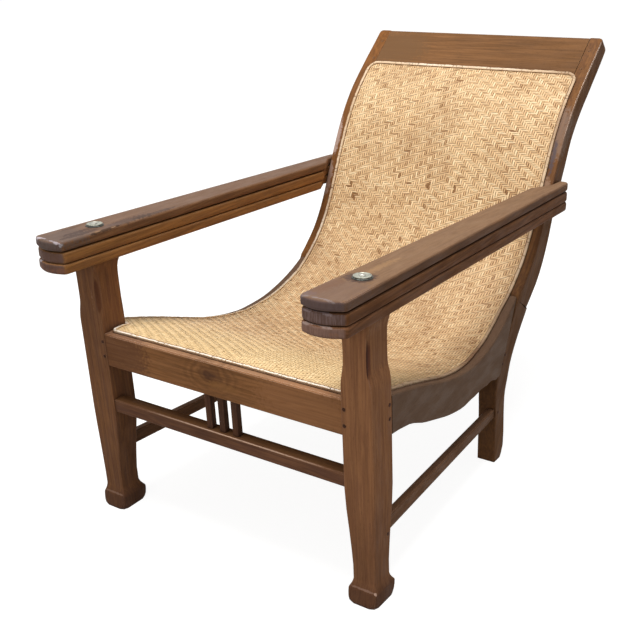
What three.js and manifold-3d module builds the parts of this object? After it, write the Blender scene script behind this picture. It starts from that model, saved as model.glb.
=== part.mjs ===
// Planters chair: a low reclining armchair with a curved cane seat and swing-out leg rests in its arms.
// Lengths are in millimetres. The chair faces -Y, +X is the sitter's left, and the floor is z = 0.
// The piece is drawn from the front faces of its front legs and then moved to its place on the floor
// under the middle of its whole outline.

import * as THREE from 'three';
import { mergeVertices } from 'three/addons/utils/BufferGeometryUtils.js';
import Module from 'manifold-3d';

const wasm = await Module();
wasm.setup();

const { clamp, degToRad, lerp, smoothstep } = THREE.MathUtils;

// Clearances
const fit = 0.3; // between two pieces that touch
const panelRest = 0.6; // between the cane panel and the timbers under it
const overrun = 4; // how far a cut runs past the face that it opens
const weldDistance = 0.0001; // points closer than this are one point

// Frame
const frameWidth = 690; // over the outer faces of the front legs
const backTaper = 104; // how much narrower it is over the outer faces of the rear posts
const seatHeight = 410; // seat surface at the front rail
const dipHeight = 300; // lowest line of the seat surface
const dipReach = 455; // from the front faces of the legs back to that lowest line
const backHeight = 849; // top front edge of the back
const backReach = 1062; // from the front faces of the legs back to the top front edge
const arris = 2.2; // eased corner of every squared timber
const postArris = 1.4; // and of the rear posts

// Front legs
const legWidth = 63;
const legDepth = 62;
const ankleWidth = 47.4;
const ankleDepth = 49.5;
const neckHollow = 6.5; // sunk into the outer face, under the arm
const innerCutAcross = 7; // widest part of the stopped chamfer on its inner front corner
const innerCutDeep = 10;
const outerCutAcross = 2.4; // and of the one on its outer front corner
const outerCutDeep = 14;
const headSpread = 3; // widening of the inner face where it carries the arm
const headDepth = 5; // widening of the rear face there
const neckClear = 24; // from the seat surface up to the hollow
const footWidth = 60;
const footDepth = 66;
const footHeight = 36; // up to where the ridge meets the shank
const footSwell = 5; // how far the ridge of the foot block stands out in front of the leg
const footOverhang = 1.5; // and past the leg's outer face
const footRound = 13; // rounding of the upright corners at the floor

// Rear posts
const postWidth = 42; // across, below the seat
const stileWidth = 31; // across, behind the back panel
const postDepth = 42; // front to back
const postHorn = 1.5; // front edge stands past the crest rail
const postTip = 8.5; // rear edge at the top does the same
const postRound = 8; // rounding of the outer corner at the top

// Rails and stretchers
const railThickness = 28;
const sideRailDepth = 74;
const frontRailDepth = 70;
const frontRailThickness = 30;
const frontRailSetback = 2;
const frontRailDrop = 1.2; // below the seat surface
const crestDepth = 122;
const crestThickness = 28;
const rearRailDepth = 52;
const rearRailThickness = 24;
const rearRailHeight = 264;
const stretcherTop = 262.5;
const stretcherDepth = 28;
const stretcherThickness = 29;
const stretcherSetback = 3.5;
const sideStretcherTop = 150;
const sideStretcherFall = 17; // from front to rear
const sideStretcherDepth = 29;
const sideStretcherTipDepth = 22; // at the rear post
const sideStretcherThickness = 17;
const sideStretcherInset = 16; // inside the outer face of the front leg
const sideStretcherRearInset = 4; // inside the outer face of the rear post
const spindleSize = 14;
const spindleSpacing = 32;
const spindleCount = 3;
const spindleSetback = 7; // behind the face of the stretcher

// Tenons and the pegs that lock them
const tenonThickness = 10;
const tenonLength = 32;
const tenonShoulder = 9; // timber left above and below a tenon
const postTenonLength = 20;
const pegRadius = 3.2;
const pegProud = 0.6;
const pegLength = 26;

// Arms: a fixed board, a swinging leg rest and a fixed base board, stacked
const armHeight = 619; // top face above the front faces of the legs
const armFall = 2.86; // degrees, down towards the back
const armOverhang = 88; // in front of the legs
const armBow = 15; // how far the front end bows out past its outer corner
const armReach = 858; // from the front faces of the legs to the rear ends
const armInset = 77.5; // inner edge at the front, inside the outer face of the front leg
const armRearInset = 25.5; // inner edge at the rear, inside the outer face of the post
const armOutset = 5.5; // outer edge at the front, outside that face
const tongueWidth = 25; // rear end, outside the rear post
const notchLength = 49; // slanting cut in front of the post
const notchGap = 3; // between that cut and the post
const armCorner = 9;
const armTailCorner = 16;
const boardEdge = 4.8; // rounding of the long edges
const topBoardThickness = 18.5;
const restThickness = 22;
const baseThickness = 20.3;
const restGap = 1.8; // above the swinging board
const restNoseSetback = 3;

// Pivots
const pivotInset = 38; // inside the outer face of the front leg
const pivotReach = 39; // behind the front face of the leg
const pinRadius = 4.5;
const pinHeadRadius = 5.4;
const pinHeadHeight = 2.6;
const pinDepthInLeg = 42;
const pinPlay = 0.4;
const discRadius = 15.5;
const discThickness = 2.2;
const discRim = 1.6;
const discRelief = 0.5;
const ringRadius = 17.6;
const ringThickness = 1.7;

// Cane panel and its edging
const panelThickness = 3.2;
const panelFront = 14; // front edge, behind the faces of the front legs
const panelTopShare = 0.873; // of the back's reach, where the panel ends
const panelInset = 13; // inside the outer face of the side rail, at the front
const panelBackInset = 19; // inside the outer face of the post
const panelCorner = 26;
const panelFrontCorner = 12;
const panelLegGap = 6;
const beadWidth = 7;
const beadHeight = 3.2;
const beadInset = 4.2; // from the panel's edge to the middle of the edging

// Working values
const halfFrame = frameWidth / 2;
const backWidth = frameWidth - backTaper;
const halfBack = backWidth / 2;
const legInner = halfFrame - legWidth;
const frontRailTop = seatHeight - frontRailDrop;
const cutRadius = pegRadius + fit;

// Side profile: the seat's dip, then the back, as shares of reach and rise from the lowest line
const seatShares = [
  [0.02, 1.0], [0.07, 1.0], [0.128, 0.977], [0.226, 0.864], [0.378, 0.668], [0.53, 0.445],
  [0.681, 0.227], [0.833, 0.073], [0.945, 0.008], [1, 0],
];
const backShares = [
  [0.107, 0.011], [0.189, 0.0346], [0.2586, 0.0638], [0.318, 0.0965], [0.364, 0.129], [0.407, 0.1676],
  [0.4646, 0.2295], [0.5206, 0.3188], [0.5684, 0.4226], [0.621, 0.539], [0.6886, 0.6703],
  [0.7677, 0.7814], [0.873, 0.885], [0.94, 0.945], [1, 1],
];
const postDepthShares = [1.38, 1.36, 1.2, 1.03, 1.05, 1.06, 0.96, 1, 1, 0.95, 0.85];
const postFirst = 4; // first row of backShares that is also the front of the post

function seatPoint([reachShare, riseShare]) {
  return new THREE.Vector2(dipReach * reachShare, dipHeight + (seatHeight - dipHeight) * riseShare);
}

function backPoint([reachShare, riseShare]) {
  const z = riseShare < 0 ? dipHeight * (1 + riseShare)
    : dipHeight + (backHeight - dipHeight) * riseShare;
  return new THREE.Vector2(dipReach + (backReach - dipReach) * reachShare, z);
}

const profileCurve = new THREE.SplineCurve([...seatShares.map(seatPoint), ...backShares.map(backPoint)]);
profileCurve.arcLengthDivisions = 600;
const profileLength = profileCurve.getLength();

// A point and a forward-facing normal on the side profile, at a share of its length
function profileAt(share) {
  const point = profileCurve.getPointAt(clamp(share, 0, 1));
  const along = profileCurve.getTangentAt(clamp(share, 0, 1));
  return { point, along, normal: new THREE.Vector2(-along.y, along.x) };
}

// The share of the profile's length at which it has gone back a given distance
function shareAtReach(reach) {
  let low = 0;
  let high = 1;
  for (let step = 0; step < 40; step += 1) {
    const middle = (low + high) / 2;
    if (profileCurve.getPointAt(middle).x < reach) low = middle;
    else high = middle;
  }
  return (low + high) / 2;
}

function profileHeight(reach) {
  return profileCurve.getPointAt(shareAtReach(reach)).y;
}

// Rear post below the seat: front and rear edges as shares from the lowest line, -1 at the floor
const footRearShare = 0.245;
const legShares = [
  [[0.1977, -1], [footRearShare, -1]], [[0.1977, -0.9], [0.2705, -0.895]],
  [[0.1977, -0.6], [0.2669, -0.6]], [[0.1944, -0.46], [0.27, -0.475]],
  [[0.201, -0.34], [0.285, -0.385]], [[0.2224, -0.227], [0.3064, -0.26]],
  [[0.2554, -0.127], [0.3377, -0.153]], [[0.2916, -0.01], [0.3838, -0.033]],
  [[0.3278, 0.0656], [0.43, 0.04]],
];

const legFrontCurve = new THREE.SplineCurve([
  ...legShares.map(([front]) => backPoint(front)), backPoint(backShares[postFirst]),
]);
const stileStart = shareAtReach(backPoint(backShares[postFirst]).x);

function stileRear(share) {
  const { point, normal } = profileAt(share);
  const row = ((share - stileStart) / (1 - stileStart)) * (postDepthShares.length - 1);
  const low = Math.min(Math.floor(row), postDepthShares.length - 2);
  const depthShare = lerp(postDepthShares[low], postDepthShares[low + 1], row - low);
  return point.clone().addScaledVector(normal, -postDepth * depthShare);
}

const legRearCurve = new THREE.SplineCurve([
  ...legShares.map(([, rear]) => backPoint(rear)), stileRear(stileStart),
]);
const legStations = 20;
const stileStations = 32;
const postRoundShares = [[0, 0], [0.5, 0.13], [0.85, 0.47], [1, 1]];
const postPairs = [];
for (let station = 0; station < legStations; station += 1) {
  const share = station / legStations;
  postPairs.push({ front: legFrontCurve.getPoint(share), rear: legRearCurve.getPoint(share), draw: 0 });
}
for (let station = 0; station < stileStations; station += 1) {
  const share = lerp(stileStart, 1, station / stileStations);
  postPairs.push({ front: profileAt(share).point, rear: stileRear(share), draw: 0 });
}
const { point: postEnd, along: postEndAlong } = profileAt(1);
for (const [riseShare, drawShare] of postRoundShares) {
  const below = postRound * (1 - riseShare);
  const tip = lerp(postHorn, postTip, riseShare * riseShare) - below;
  postPairs.push({
    front: postEnd.clone().addScaledVector(postEndAlong, postHorn - below),
    rear: stileRear(1).addScaledVector(postEndAlong, tip),
    draw: postRound * drawShare,
  });
}

// Front and rear edges of the post where its front reaches a height
function postAtHeight(height) {
  const above = Math.max(1, postPairs.findIndex(({ front }) => front.y >= height));
  const [low, high] = [postPairs[above - 1], postPairs[above]];
  const share = (height - low.front.y) / (high.front.y - low.front.y);
  const direction = high.front.clone().sub(low.front);
  const front = low.front.clone().lerp(high.front, share);
  const rear = low.rear.clone().lerp(high.rear, share);
  return { front, rear, direction };
}

// Outer face of the side rail: a straight board from front leg to rear post
const railStart = legDepth + fit;
const railTipReach = backPoint([0.351, 0]).x;
const railMeetReach = backPoint([0.272, 0]).x;

function railOuter(reach) {
  const share = (reach - legDepth) / (railMeetReach - legDepth);
  return lerp(halfFrame, halfBack + fit, share);
}

// Mesh helpers
function geometryFrom(vertices, faces) {
  const geometry = new THREE.BufferGeometry();
  const places = vertices.flatMap((vertex) => vertex.toArray());
  geometry.setAttribute('position', new THREE.Float32BufferAttribute(places, 3));
  geometry.setIndex(faces.flat());
  geometry.computeVertexNormals();
  return geometry;
}

// Skin between rings that all have as many points, with flat ends, or closed on itself
function loft(rings, closed = false) {
  const count = rings[0].length;
  const vertices = rings.flat();
  const faces = [];
  const bands = closed ? rings.length : rings.length - 1;
  for (let band = 0; band < bands; band += 1) {
    const here = band * count;
    const next = ((band + 1) % rings.length) * count;
    for (let side = 0; side < count; side += 1) {
      const other = (side + 1) % count;
      faces.push([here + side, here + other, next + other], [here + side, next + other, next + side]);
    }
  }
  if (!closed) {
    const last = (rings.length - 1) * count;
    for (let side = 1; side < count - 1; side += 1) {
      faces.push([0, side + 1, side], [last, last + side, last + side + 1]);
    }
  }
  return geometryFrom(vertices, faces);
}

function bare(geometry) {
  const copy = geometry.clone();
  copy.deleteAttribute('normal');
  if (copy.attributes.uv) copy.deleteAttribute('uv');
  return mergeVertices(copy, weldDistance);
}

function toSolid(geometry) {
  const merged = bare(geometry);
  const mesh = new wasm.Mesh({
    numProp: 3,
    vertProperties: new Float32Array(merged.attributes.position.array),
    triVerts: new Uint32Array(merged.index.array),
  });
  return new wasm.Manifold(mesh);
}

function fromSolid(solid) {
  const mesh = solid.getMesh();
  const geometry = new THREE.BufferGeometry();
  const points = new Float32Array(mesh.numVert * 3);
  for (let vertex = 0; vertex < mesh.numVert; vertex += 1) {
    for (let axis = 0; axis < 3; axis += 1) {
      points[vertex * 3 + axis] = mesh.vertProperties[vertex * mesh.numProp + axis];
    }
  }
  geometry.setAttribute('position', new THREE.BufferAttribute(points, 3));
  geometry.setIndex(new THREE.BufferAttribute(new Uint32Array(mesh.triVerts), 1));
  geometry.computeVertexNormals();
  return geometry;
}

function carve(geometry, { add = [], remove = [] }) {
  let solid = toSolid(geometry);
  for (const piece of add) solid = solid.add(toSolid(piece));
  for (const piece of remove) solid = solid.subtract(toSolid(piece));
  return fromSolid(solid);
}

function mirrored(geometry) {
  const copy = bare(geometry);
  copy.scale(-1, 1, 1);
  const index = copy.index.array;
  for (let corner = 0; corner < index.length; corner += 3) {
    const kept = index[corner];
    index[corner] = index[corner + 1];
    index[corner + 1] = kept;
  }
  copy.computeVertexNormals();
  return copy;
}

// A box from its low corner to its high corner
function block(low, high) {
  const size = high.clone().sub(low);
  const geometry = new THREE.BoxGeometry(size.x, size.y, size.z);
  geometry.translate((low.x + high.x) / 2, (low.y + high.y) / 2, (low.z + high.z) / 2);
  return geometry;
}

function grown(low, high, margin) {
  const step = new THREE.Vector3(margin, margin, margin);
  return block(low.clone().sub(step), high.clone().add(step));
}

// A round rod between two points
function rod(from, to, radius, sides = 12) {
  const along = to.clone().sub(from);
  const geometry = new THREE.CylinderGeometry(radius, radius, along.length(), sides);
  const turn = new THREE.Quaternion().setFromUnitVectors(alongY, along.clone().normalize());
  geometry.applyQuaternion(turn);
  const middle = from.clone().add(to).multiplyScalar(0.5);
  geometry.translate(middle.x, middle.y, middle.z);
  return geometry;
}

// Ring of eight points: a rectangle between two corners of a section, with eased corners
function easedRing(corner, across, up, width, height, ease) {
  const cut = Math.min(ease, width / 4, height / 4);
  const places = [
    [cut, 0], [width - cut, 0], [width, cut], [width, height - cut],
    [width - cut, height], [cut, height], [0, height - cut], [0, cut],
  ];
  return places.map(([a, b]) => corner.clone().addScaledVector(across, a).addScaledVector(up, b));
}

// Ring of twelve points for an upright timber, each corner cut by its own amounts across and in depth:
// a bend of 0.3 rounds the corner and one of 0.5 leaves it flat
function shapedRing(low, high, front, rear, height, cuts, bend) {
  const signs = [[low, front, 1, 1], [high, front, -1, 1], [high, rear, -1, -1], [low, rear, 1, -1]];
  return signs.flatMap(([x, y, inX, inY], corner) => {
    const [across, deep] = cuts[corner];
    const stops = [[0, deep], [across * bend, deep * bend], [across, 0]];
    const run = corner % 2 === 0 ? stops : stops.reverse();
    return run.map(([a, b]) => vector(x + inX * a, y + inY * b, height));
  });
}

const alongX = new THREE.Vector3(1, 0, 0);
const alongY = new THREE.Vector3(0, 1, 0);
const alongZ = new THREE.Vector3(0, 0, 1);

function vector(x, y, z) {
  return new THREE.Vector3(x, y, z);
}

// Arm frame: origin on the arm's top face above the legs' front faces, +Y back along the arm
const armAngle = degToRad(armFall);
const armMatrix = new THREE.Matrix4().makeRotationX(-armAngle).setPosition(0, 0, armHeight);
const armThickness = topBoardThickness + restGap + restThickness + fit + baseThickness;

function armUnderside(reach) {
  return armHeight - reach * Math.tan(armAngle) - armThickness / Math.cos(armAngle);
}

// Front leg: foot block, tapered shank, squared middle and a neck with stopped chamfers under the arm
// Foot rows: rise, spread of the sides and the rear from the shank, spread of the front, corner rounding
const footShares = [
  [0, 0.92, 1.7, 1], [0.1, 1, 1.85, 0.8], [0.28, 1.06, 1.7, 0.52], [0.55, 1.07, 1.35, 0.3],
  [0.76, 1.03, 1.08, 0.19], [0.83, 0.97, 0.98, 0.17], [0.91, 0.76, 0.76, 0.17], [1.02, 0.48, 0.48, 0.17],
  [1.14, 0.24, 0.24, 0.17], [1.26, 0.08, 0.08, 0.17],
];
const shankShares = [[0.12, 1], [0.19, 1], [0.27, 0.82], [0.37, 0.54], [0.47, 0.2], [0.575, 0]];
// Neck rows: rise, hollow of the outer face, spread of the inner face, spread of the rear, front chamfers
const neckShares = [
  [0, 0, 0, 0, 0], [0.07, 0.06, 0, 0, 0.1], [0.14, 0.25, 0, 0, 0.34], [0.2, 0.5, -0.1, 0, 0.58],
  [0.26, 0.78, -0.2, 0, 0.76], [0.33, 0.95, -0.3, 0, 0.9], [0.45, 1, -0.3, 0, 1], [0.6, 1, -0.3, 0, 1],
  [0.74, 0.99, -0.3, 0.05, 0.9], [0.84, 0.94, -0.2, 0.2, 0.66], [0.91, 0.8, 0.1, 0.55, 0.36],
  [0.96, 0.62, 0.6, 0.9, 0.1], [1, 0.5, 1, 1, 0],
];
const neckStart = frontRailTop + neckClear;
const ankleInnerShare = 0.77; // of the taper across, taken off the inner face
const ankleRearShare = 0.9; // of the taper in depth, taken off the rear face
const roundBend = 0.3;
const flatBend = 0.5;

function frontLegBlank() {
  const rings = [];
  const eased = [arris, arris];
  const footOuter = halfFrame + footOverhang;
  const narrow = legWidth - ankleWidth;
  const shallow = legDepth - ankleDepth;
  const ankle = {
    low: legInner + narrow * ankleInnerShare, high: halfFrame - narrow * (1 - ankleInnerShare),
    front: shallow * (1 - ankleRearShare), rear: legDepth - shallow * ankleRearShare,
  };
  const foot = {
    low: footOuter - footWidth, high: footOuter, front: -footSwell, rear: footDepth - footSwell,
  };
  for (const [riseShare, sideShare, frontShare, cornerShare] of footShares) {
    const round = [footRound * cornerShare, footRound * cornerShare];
    rings.push(shapedRing(
      lerp(ankle.low, foot.low, sideShare), lerp(ankle.high, foot.high, sideShare),
      lerp(ankle.front, foot.front, frontShare), lerp(ankle.rear, foot.rear, sideShare),
      footHeight * riseShare, [round, round, round, round], roundBend,
    ));
  }
  for (const [heightShare, taperShare] of shankShares) {
    rings.push(shapedRing(
      lerp(legInner, ankle.low, taperShare), lerp(halfFrame, ankle.high, taperShare),
      lerp(0, ankle.front, taperShare), lerp(legDepth, ankle.rear, taperShare),
      frontRailTop * heightShare, [eased, eased, eased, eased], roundBend,
    ));
  }
  const neckEnd = armUnderside(legDepth + headDepth) - fit;
  for (const [riseShare, outerShare, innerShare, rearShare, cutShare] of neckShares) {
    const height = lerp(neckStart, neckEnd, riseShare);
    const innerCut = [lerp(arris, innerCutAcross, cutShare), lerp(arris, innerCutDeep, cutShare)];
    const outerCut = [lerp(arris, outerCutAcross, cutShare), lerp(arris, outerCutDeep, cutShare)];
    const ring = shapedRing(
      legInner - headSpread * innerShare, halfFrame - neckHollow * outerShare,
      0, legDepth + headDepth * rearShare, height, [innerCut, outerCut, eased, eased],
      lerp(roundBend, flatBend, Math.sqrt(cutShare)),
    );
    if (riseShare === 1) {
      for (const point of ring) point.z = armUnderside(point.y) - fit;
    }
    rings.push(ring);
  }
  return loft(rings);
}

// Rear post, from the foot to the top of the back, as one sawn and shaped piece
function postBlank(spread = 0, margin = 0) {
  const rings = postPairs.map((pair) => {
    const across = pair.rear.clone().sub(pair.front).normalize();
    const front = pair.front.clone().addScaledVector(across, -margin);
    const rear = pair.rear.clone().addScaledVector(across, margin);
    const rise = clamp((front.y - dipHeight) / (armHeight - dipHeight), 0, 1);
    const width = lerp(postWidth, stileWidth, rise);
    const corner = vector(halfBack - width - spread, front.x, front.y);
    const outer = width + spread * 2 - pair.draw;
    const back = vector(0, across.x, across.y);
    const depth = rear.distanceTo(front);
    const ease = spread > 0 ? fit : postArris;
    return easedRing(corner, alongX, back, outer, depth, ease);
  });
  return loft(rings);
}

// Rail between two heights of a straight run, tapering as it goes
function bar(start, end, depthStart, depthEnd, thickness) {
  const across = vector(end.y - start.y, start.x - end.x, 0).normalize();
  const rings = [[start, depthStart], [end, depthEnd]].map(([place, depth]) => {
    const corner = place.clone().addScaledVector(across, -thickness).addScaledVector(alongZ, -depth);
    return easedRing(corner, across, alongZ, thickness, depth, arris).reverse();
  });
  return loft(rings);
}

// Places of the tenons, each given by its middle, its half thickness and its lowest and highest line
const tenonEnd = tenonLength - fit;
const frontRailMiddle = frontRailSetback + frontRailThickness / 2;
const stretcherMiddle = stretcherSetback + stretcherThickness / 2;

function crossTenon(middle, bottom, top) {
  const low = vector(legInner - overrun, middle - tenonThickness / 2, bottom);
  return [low, vector(legInner + tenonEnd, middle + tenonThickness / 2, top)];
}

const frontTenon = crossTenon(
  frontRailMiddle, frontRailTop - frontRailDepth + tenonShoulder, frontRailTop - tenonShoulder,
);
const stretcherTenon = crossTenon(
  stretcherMiddle, stretcherTop - stretcherDepth + tenonShoulder / 2, stretcherTop - tenonShoulder / 2,
);

function lengthTenon(axis, thickness, from, to, bottom, top) {
  return [vector(axis - thickness / 2, from, bottom), vector(axis + thickness / 2, to, top)];
}

const sideTenonLength = legDepth - frontRailMiddle - tenonThickness / 2 - tenonShoulder;
const sideTenonStart = legDepth - sideTenonLength;
const railAxis = halfFrame - railThickness / 2;
const sideTenonBottom = frontRailTop - sideRailDepth + tenonShoulder * 2;
const sideTenon = lengthTenon(
  railAxis, tenonThickness, sideTenonStart, legDepth + overrun,
  sideTenonBottom, frontRailTop - tenonShoulder * 1.5,
);
const sideStretcherAxis = halfFrame - sideStretcherInset - sideStretcherThickness / 2;
const lowTenonWidth = sideStretcherThickness - tenonShoulder;
const lowTenonShoulder = 4;
const lowTenon = lengthTenon(
  sideStretcherAxis, lowTenonWidth, sideTenonStart, legDepth + overrun,
  sideStretcherTop - sideStretcherDepth + lowTenonShoulder, sideStretcherTop - lowTenonShoulder,
);

// Rear end of the side stretcher, where it meets the flat front of the post's foot
const rearStretcherTop = sideStretcherTop - sideStretcherFall;
const rearStretcherBottom = rearStretcherTop - sideStretcherTipDepth;
const postFace = Math.min(...[rearStretcherTop, rearStretcherBottom].map((z) => postAtHeight(z).front.x));
const rearStretcherAxis = halfBack - sideStretcherRearInset - sideStretcherThickness / 2;
const rearLowTenon = lengthTenon(
  rearStretcherAxis, lowTenonWidth, postFace - overrun, postFace + postTenonLength,
  rearStretcherBottom + lowTenonShoulder, rearStretcherTop - lowTenonShoulder,
);

// Tenon of the side rail in the post, square to the slanting joint
const jointMiddle = backPoint([0.2389, -0.177]);
const jointLean = Math.atan2(backPoint([0.2554, -0.127]).y - backPoint([0.2224, -0.227]).y,
  backPoint([0.2554, -0.127]).x - backPoint([0.2224, -0.227]).x);
const jointTenonHeight = sideRailDepth * 0.5;
const jointTenonAxis = halfBack - railThickness / 2;

function jointTenon(margin) {
  const geometry = new THREE.BoxGeometry(
    tenonThickness + margin * 2, postTenonLength + overrun * 3 + margin, jointTenonHeight + margin * 2,
  );
  geometry.translate(0, (postTenonLength - overrun * 3 + margin) / 2, 0);
  geometry.rotateX(jointLean - Math.PI / 2);
  geometry.translate(jointTenonAxis, jointMiddle.x, jointMiddle.y);
  return geometry;
}

// Crest rail between the posts, its face in line with theirs
const crestHalf = halfBack - stileWidth;
const crestStartShare = 1 - crestDepth / profileLength;
const crestSteps = 6;

function profileStrip(fromShare, toShare, steps, front, rear, halfWidth) {
  const outline = new THREE.Shape();
  const faces = [];
  const backs = [];
  for (let step = 0; step <= steps; step += 1) {
    const { point, normal } = profileAt(lerp(fromShare, toShare, step / steps));
    faces.push(point.clone().addScaledVector(normal, -front));
    backs.unshift(point.clone().addScaledVector(normal, -rear));
  }
  outline.setFromPoints([...faces, ...backs]);
  const settings = { depth: halfWidth * 2, bevelEnabled: false, steps: 1 };
  const geometry = new THREE.ExtrudeGeometry(outline, settings);
  geometry.applyMatrix4(new THREE.Matrix4().makeBasis(alongY, alongZ, alongX));
  geometry.translate(-halfWidth, 0, 0);
  return geometry;
}

function crestTenon(margin, reachIn) {
  const inset = crestThickness * 0.32;
  const from = crestStartShare + (crestDepth * 0.16 - margin) / profileLength;
  const to = 1 - (crestDepth * 0.16 - margin) / profileLength;
  const front = inset - margin;
  const rear = crestThickness - inset + margin;
  return profileStrip(from, to, crestSteps, front, rear, crestHalf + reachIn);
}

const crestTenonLength = stileWidth * 0.7;

// Rear rail under the seat, parallel to the posts where it meets them
const rearRailPlace = postAtHeight(rearRailHeight);
const rearRailMiddle = rearRailPlace.front.clone().add(rearRailPlace.rear).multiplyScalar(0.5);
const rearRailLean = rearRailPlace.direction.angle();

function rearRailBoard(halfWidth, depth, thickness) {
  const geometry = new THREE.BoxGeometry(halfWidth * 2, thickness, depth);
  geometry.rotateX(rearRailLean - Math.PI / 2);
  geometry.translate(0, rearRailMiddle.x, rearRailMiddle.y);
  return geometry;
}

// Pegs, each as the two ends of its rod, on the sitter's left side
const frontPegInset = 6;
const pegRiseShares = [0.25, 0.7];
const frontPegs = pegRiseShares.map((share) => {
  const height = frontRailTop - frontRailDepth * share;
  const across = legInner + frontPegInset;
  return [vector(across, -pegProud, height), vector(across, pegLength, height)];
});
const sidePegSetback = 8;
const sidePegs = [0.24, 0.6].map((share) => {
  const height = frontRailTop - sideRailDepth * share;
  const reach = legDepth - sidePegSetback;
  return [vector(halfFrame + pegProud, reach, height), vector(halfFrame - pegLength, reach, height)];
});
const lowPegReach = legDepth - sideTenonLength * 0.55;
const lowPegHeight = sideStretcherTop - sideStretcherDepth / 2;
const lowPegFace = halfFrame - (legWidth - ankleWidth) * 0.16;
const lowPeg = [
  vector(lowPegFace + pegProud, lowPegReach, lowPegHeight),
  vector(halfFrame - pegLength * 1.4, lowPegReach, lowPegHeight),
];
const legPegs = [...frontPegs, ...sidePegs, lowPeg];

const rearLowPegReach = postFace + postTenonLength * 0.6;
const rearLowPegHeight = rearStretcherTop - sideStretcherTipDepth / 2;
const jointPegs = [-0.28, 0.28].map((share) => {
  const along = jointTenonHeight * share;
  const reach = jointMiddle.x + Math.cos(jointLean) * along + Math.sin(jointLean) * pegRadius * 2.6;
  const height = jointMiddle.y + Math.sin(jointLean) * along - Math.cos(jointLean) * pegRadius * 2.6;
  return [vector(halfBack + pegProud, reach, height), vector(halfBack - pegLength, reach, height)];
});
const postPegs = [
  ...jointPegs,
  [
    vector(halfBack + pegProud, rearLowPegReach, rearLowPegHeight),
    vector(halfBack - pegLength, rearLowPegReach, rearLowPegHeight),
  ],
];

const crestPegInset = 10; // from the crest's shoulder
const crestPegs = [0.28, 0.72].map((share) => {
  const { point, normal } = profileAt(lerp(crestStartShare, 1, share));
  const front = point.clone().addScaledVector(normal, pegProud);
  const rear = point.clone().addScaledVector(normal, -pegLength);
  const across = crestHalf + crestPegInset;
  return [vector(across, front.x, front.y), vector(across, rear.x, rear.y)];
});

function pegHoles(pegs) {
  return pegs.map(([from, to]) => {
    const along = to.clone().sub(from).normalize();
    const mouth = from.clone().addScaledVector(along, -overrun);
    return rod(mouth, to.clone().addScaledVector(along, fit), cutRadius);
  });
}


// Pivot hole in the top of the leg
const pivotX = halfFrame - pivotInset;
const pinBottom = armThickness + pinDepthInLeg;

function pivotHole(radius, from, to) {
  return rod(vector(pivotX, pivotReach, from), vector(pivotX, pivotReach, to), radius, 20);
}

const frontLeg = carve(frontLegBlank(), {
  remove: [
    ...[frontTenon, stretcherTenon, sideTenon, lowTenon].map((tenon) => grown(...tenon, fit)),
    ...pegHoles(legPegs),
    pivotHole(pinRadius + fit, -armThickness + overrun, -pinBottom - fit).applyMatrix4(armMatrix),
  ],
});

const rearMortiseDepth = rearRailDepth - tenonShoulder * 2 + fit * 2;
const rearPost = carve(postBlank(), {
  remove: [
    jointTenon(fit), grown(...rearLowTenon, fit), crestTenon(fit, crestTenonLength + fit),
    rearRailBoard(halfBack - postWidth / 2 + fit, rearMortiseDepth, tenonThickness + fit * 2),
    ...pegHoles(postPegs), ...pegHoles(crestPegs),
  ],
});

// Side rail: a curved board whose top carries the panel and whose tip feathers up the post
const railStations = 34;
const railDepthShares = [
  [0, 1.04], [0.056, 0.99], [0.122, 0.96], [0.226, 1.05], [0.5, 1.04], [0.6, 0.97], [0.66, 0.97],
  [0.76, 1.12], [0.847, 1.46], [0.9, 1.4], [1, 1.0],
];

function tableValue(table, share) {
  for (let row = 1; row < table.length; row += 1) {
    const [low, from] = table[row - 1];
    const [high, to] = table[row];
    if (share <= high) return lerp(from, to, smoothstep(share, low, high));
  }
  return table[table.length - 1][1];
}

function sideRailBlank() {
  const rings = [];
  for (let station = 0; station <= railStations; station += 1) {
    const share = station / railStations;
    const reach = lerp(railStart, railTipReach, share);
    const depth = sideRailDepth * tableValue(railDepthShares, share);
    const outer = railOuter(reach);
    const corner = vector(outer - railThickness, reach, profileHeight(reach) - depth);
    rings.push(easedRing(corner, alongX, alongZ, railThickness, depth, arris).reverse());
  }
  return loft(rings);
}

const sideRail = carve(sideRailBlank(), {
  add: [block(...sideTenon)],
  remove: [postBlank(legWidth, fit)],
});
const sideRailJoined = carve(sideRail, {
  add: [jointTenon(0)],
  remove: [...pegHoles(sidePegs), ...pegHoles(jointPegs)],
});

// Side stretcher, low down between front leg and rear post
const stretcherStart = vector(halfFrame - sideStretcherInset, ankleDepth, sideStretcherTop);
const stretcherEnd = vector(halfBack - sideStretcherRearInset, postFace - fit, rearStretcherTop);
const sideStretcherBar = bar(
  stretcherStart, stretcherEnd, sideStretcherDepth, sideStretcherTipDepth, sideStretcherThickness,
);
const sideStretcherBlank = carve(sideStretcherBar, { remove: [frontLegBlank().translate(0, fit, 0)] });
const sideStretcher = carve(sideStretcherBlank, {
  add: [block(...lowTenon), block(...rearLowTenon)],
  remove: [...pegHoles([lowPeg]), ...pegHoles([postPegs[2]])],
});

// Straight cross timbers
function crossRail(low, high, tenon, pegs) {
  const half = legInner - fit;
  const rings = [-half, half].map((x) => easedRing(
    vector(x, low.y, low.z), alongY, alongZ, high.y - low.y, high.z - low.z, arris,
  ));
  const [near, far] = tenon;
  const mirroredTenon = block(vector(-far.x, near.y, near.z), vector(-near.x, far.y, far.z));
  const holes = pegHoles(pegs);
  return carve(loft(rings), {
    add: [block(...tenon), mirroredTenon],
    remove: [...holes, ...holes.map((hole) => mirrored(hole))],
  });
}

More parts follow.
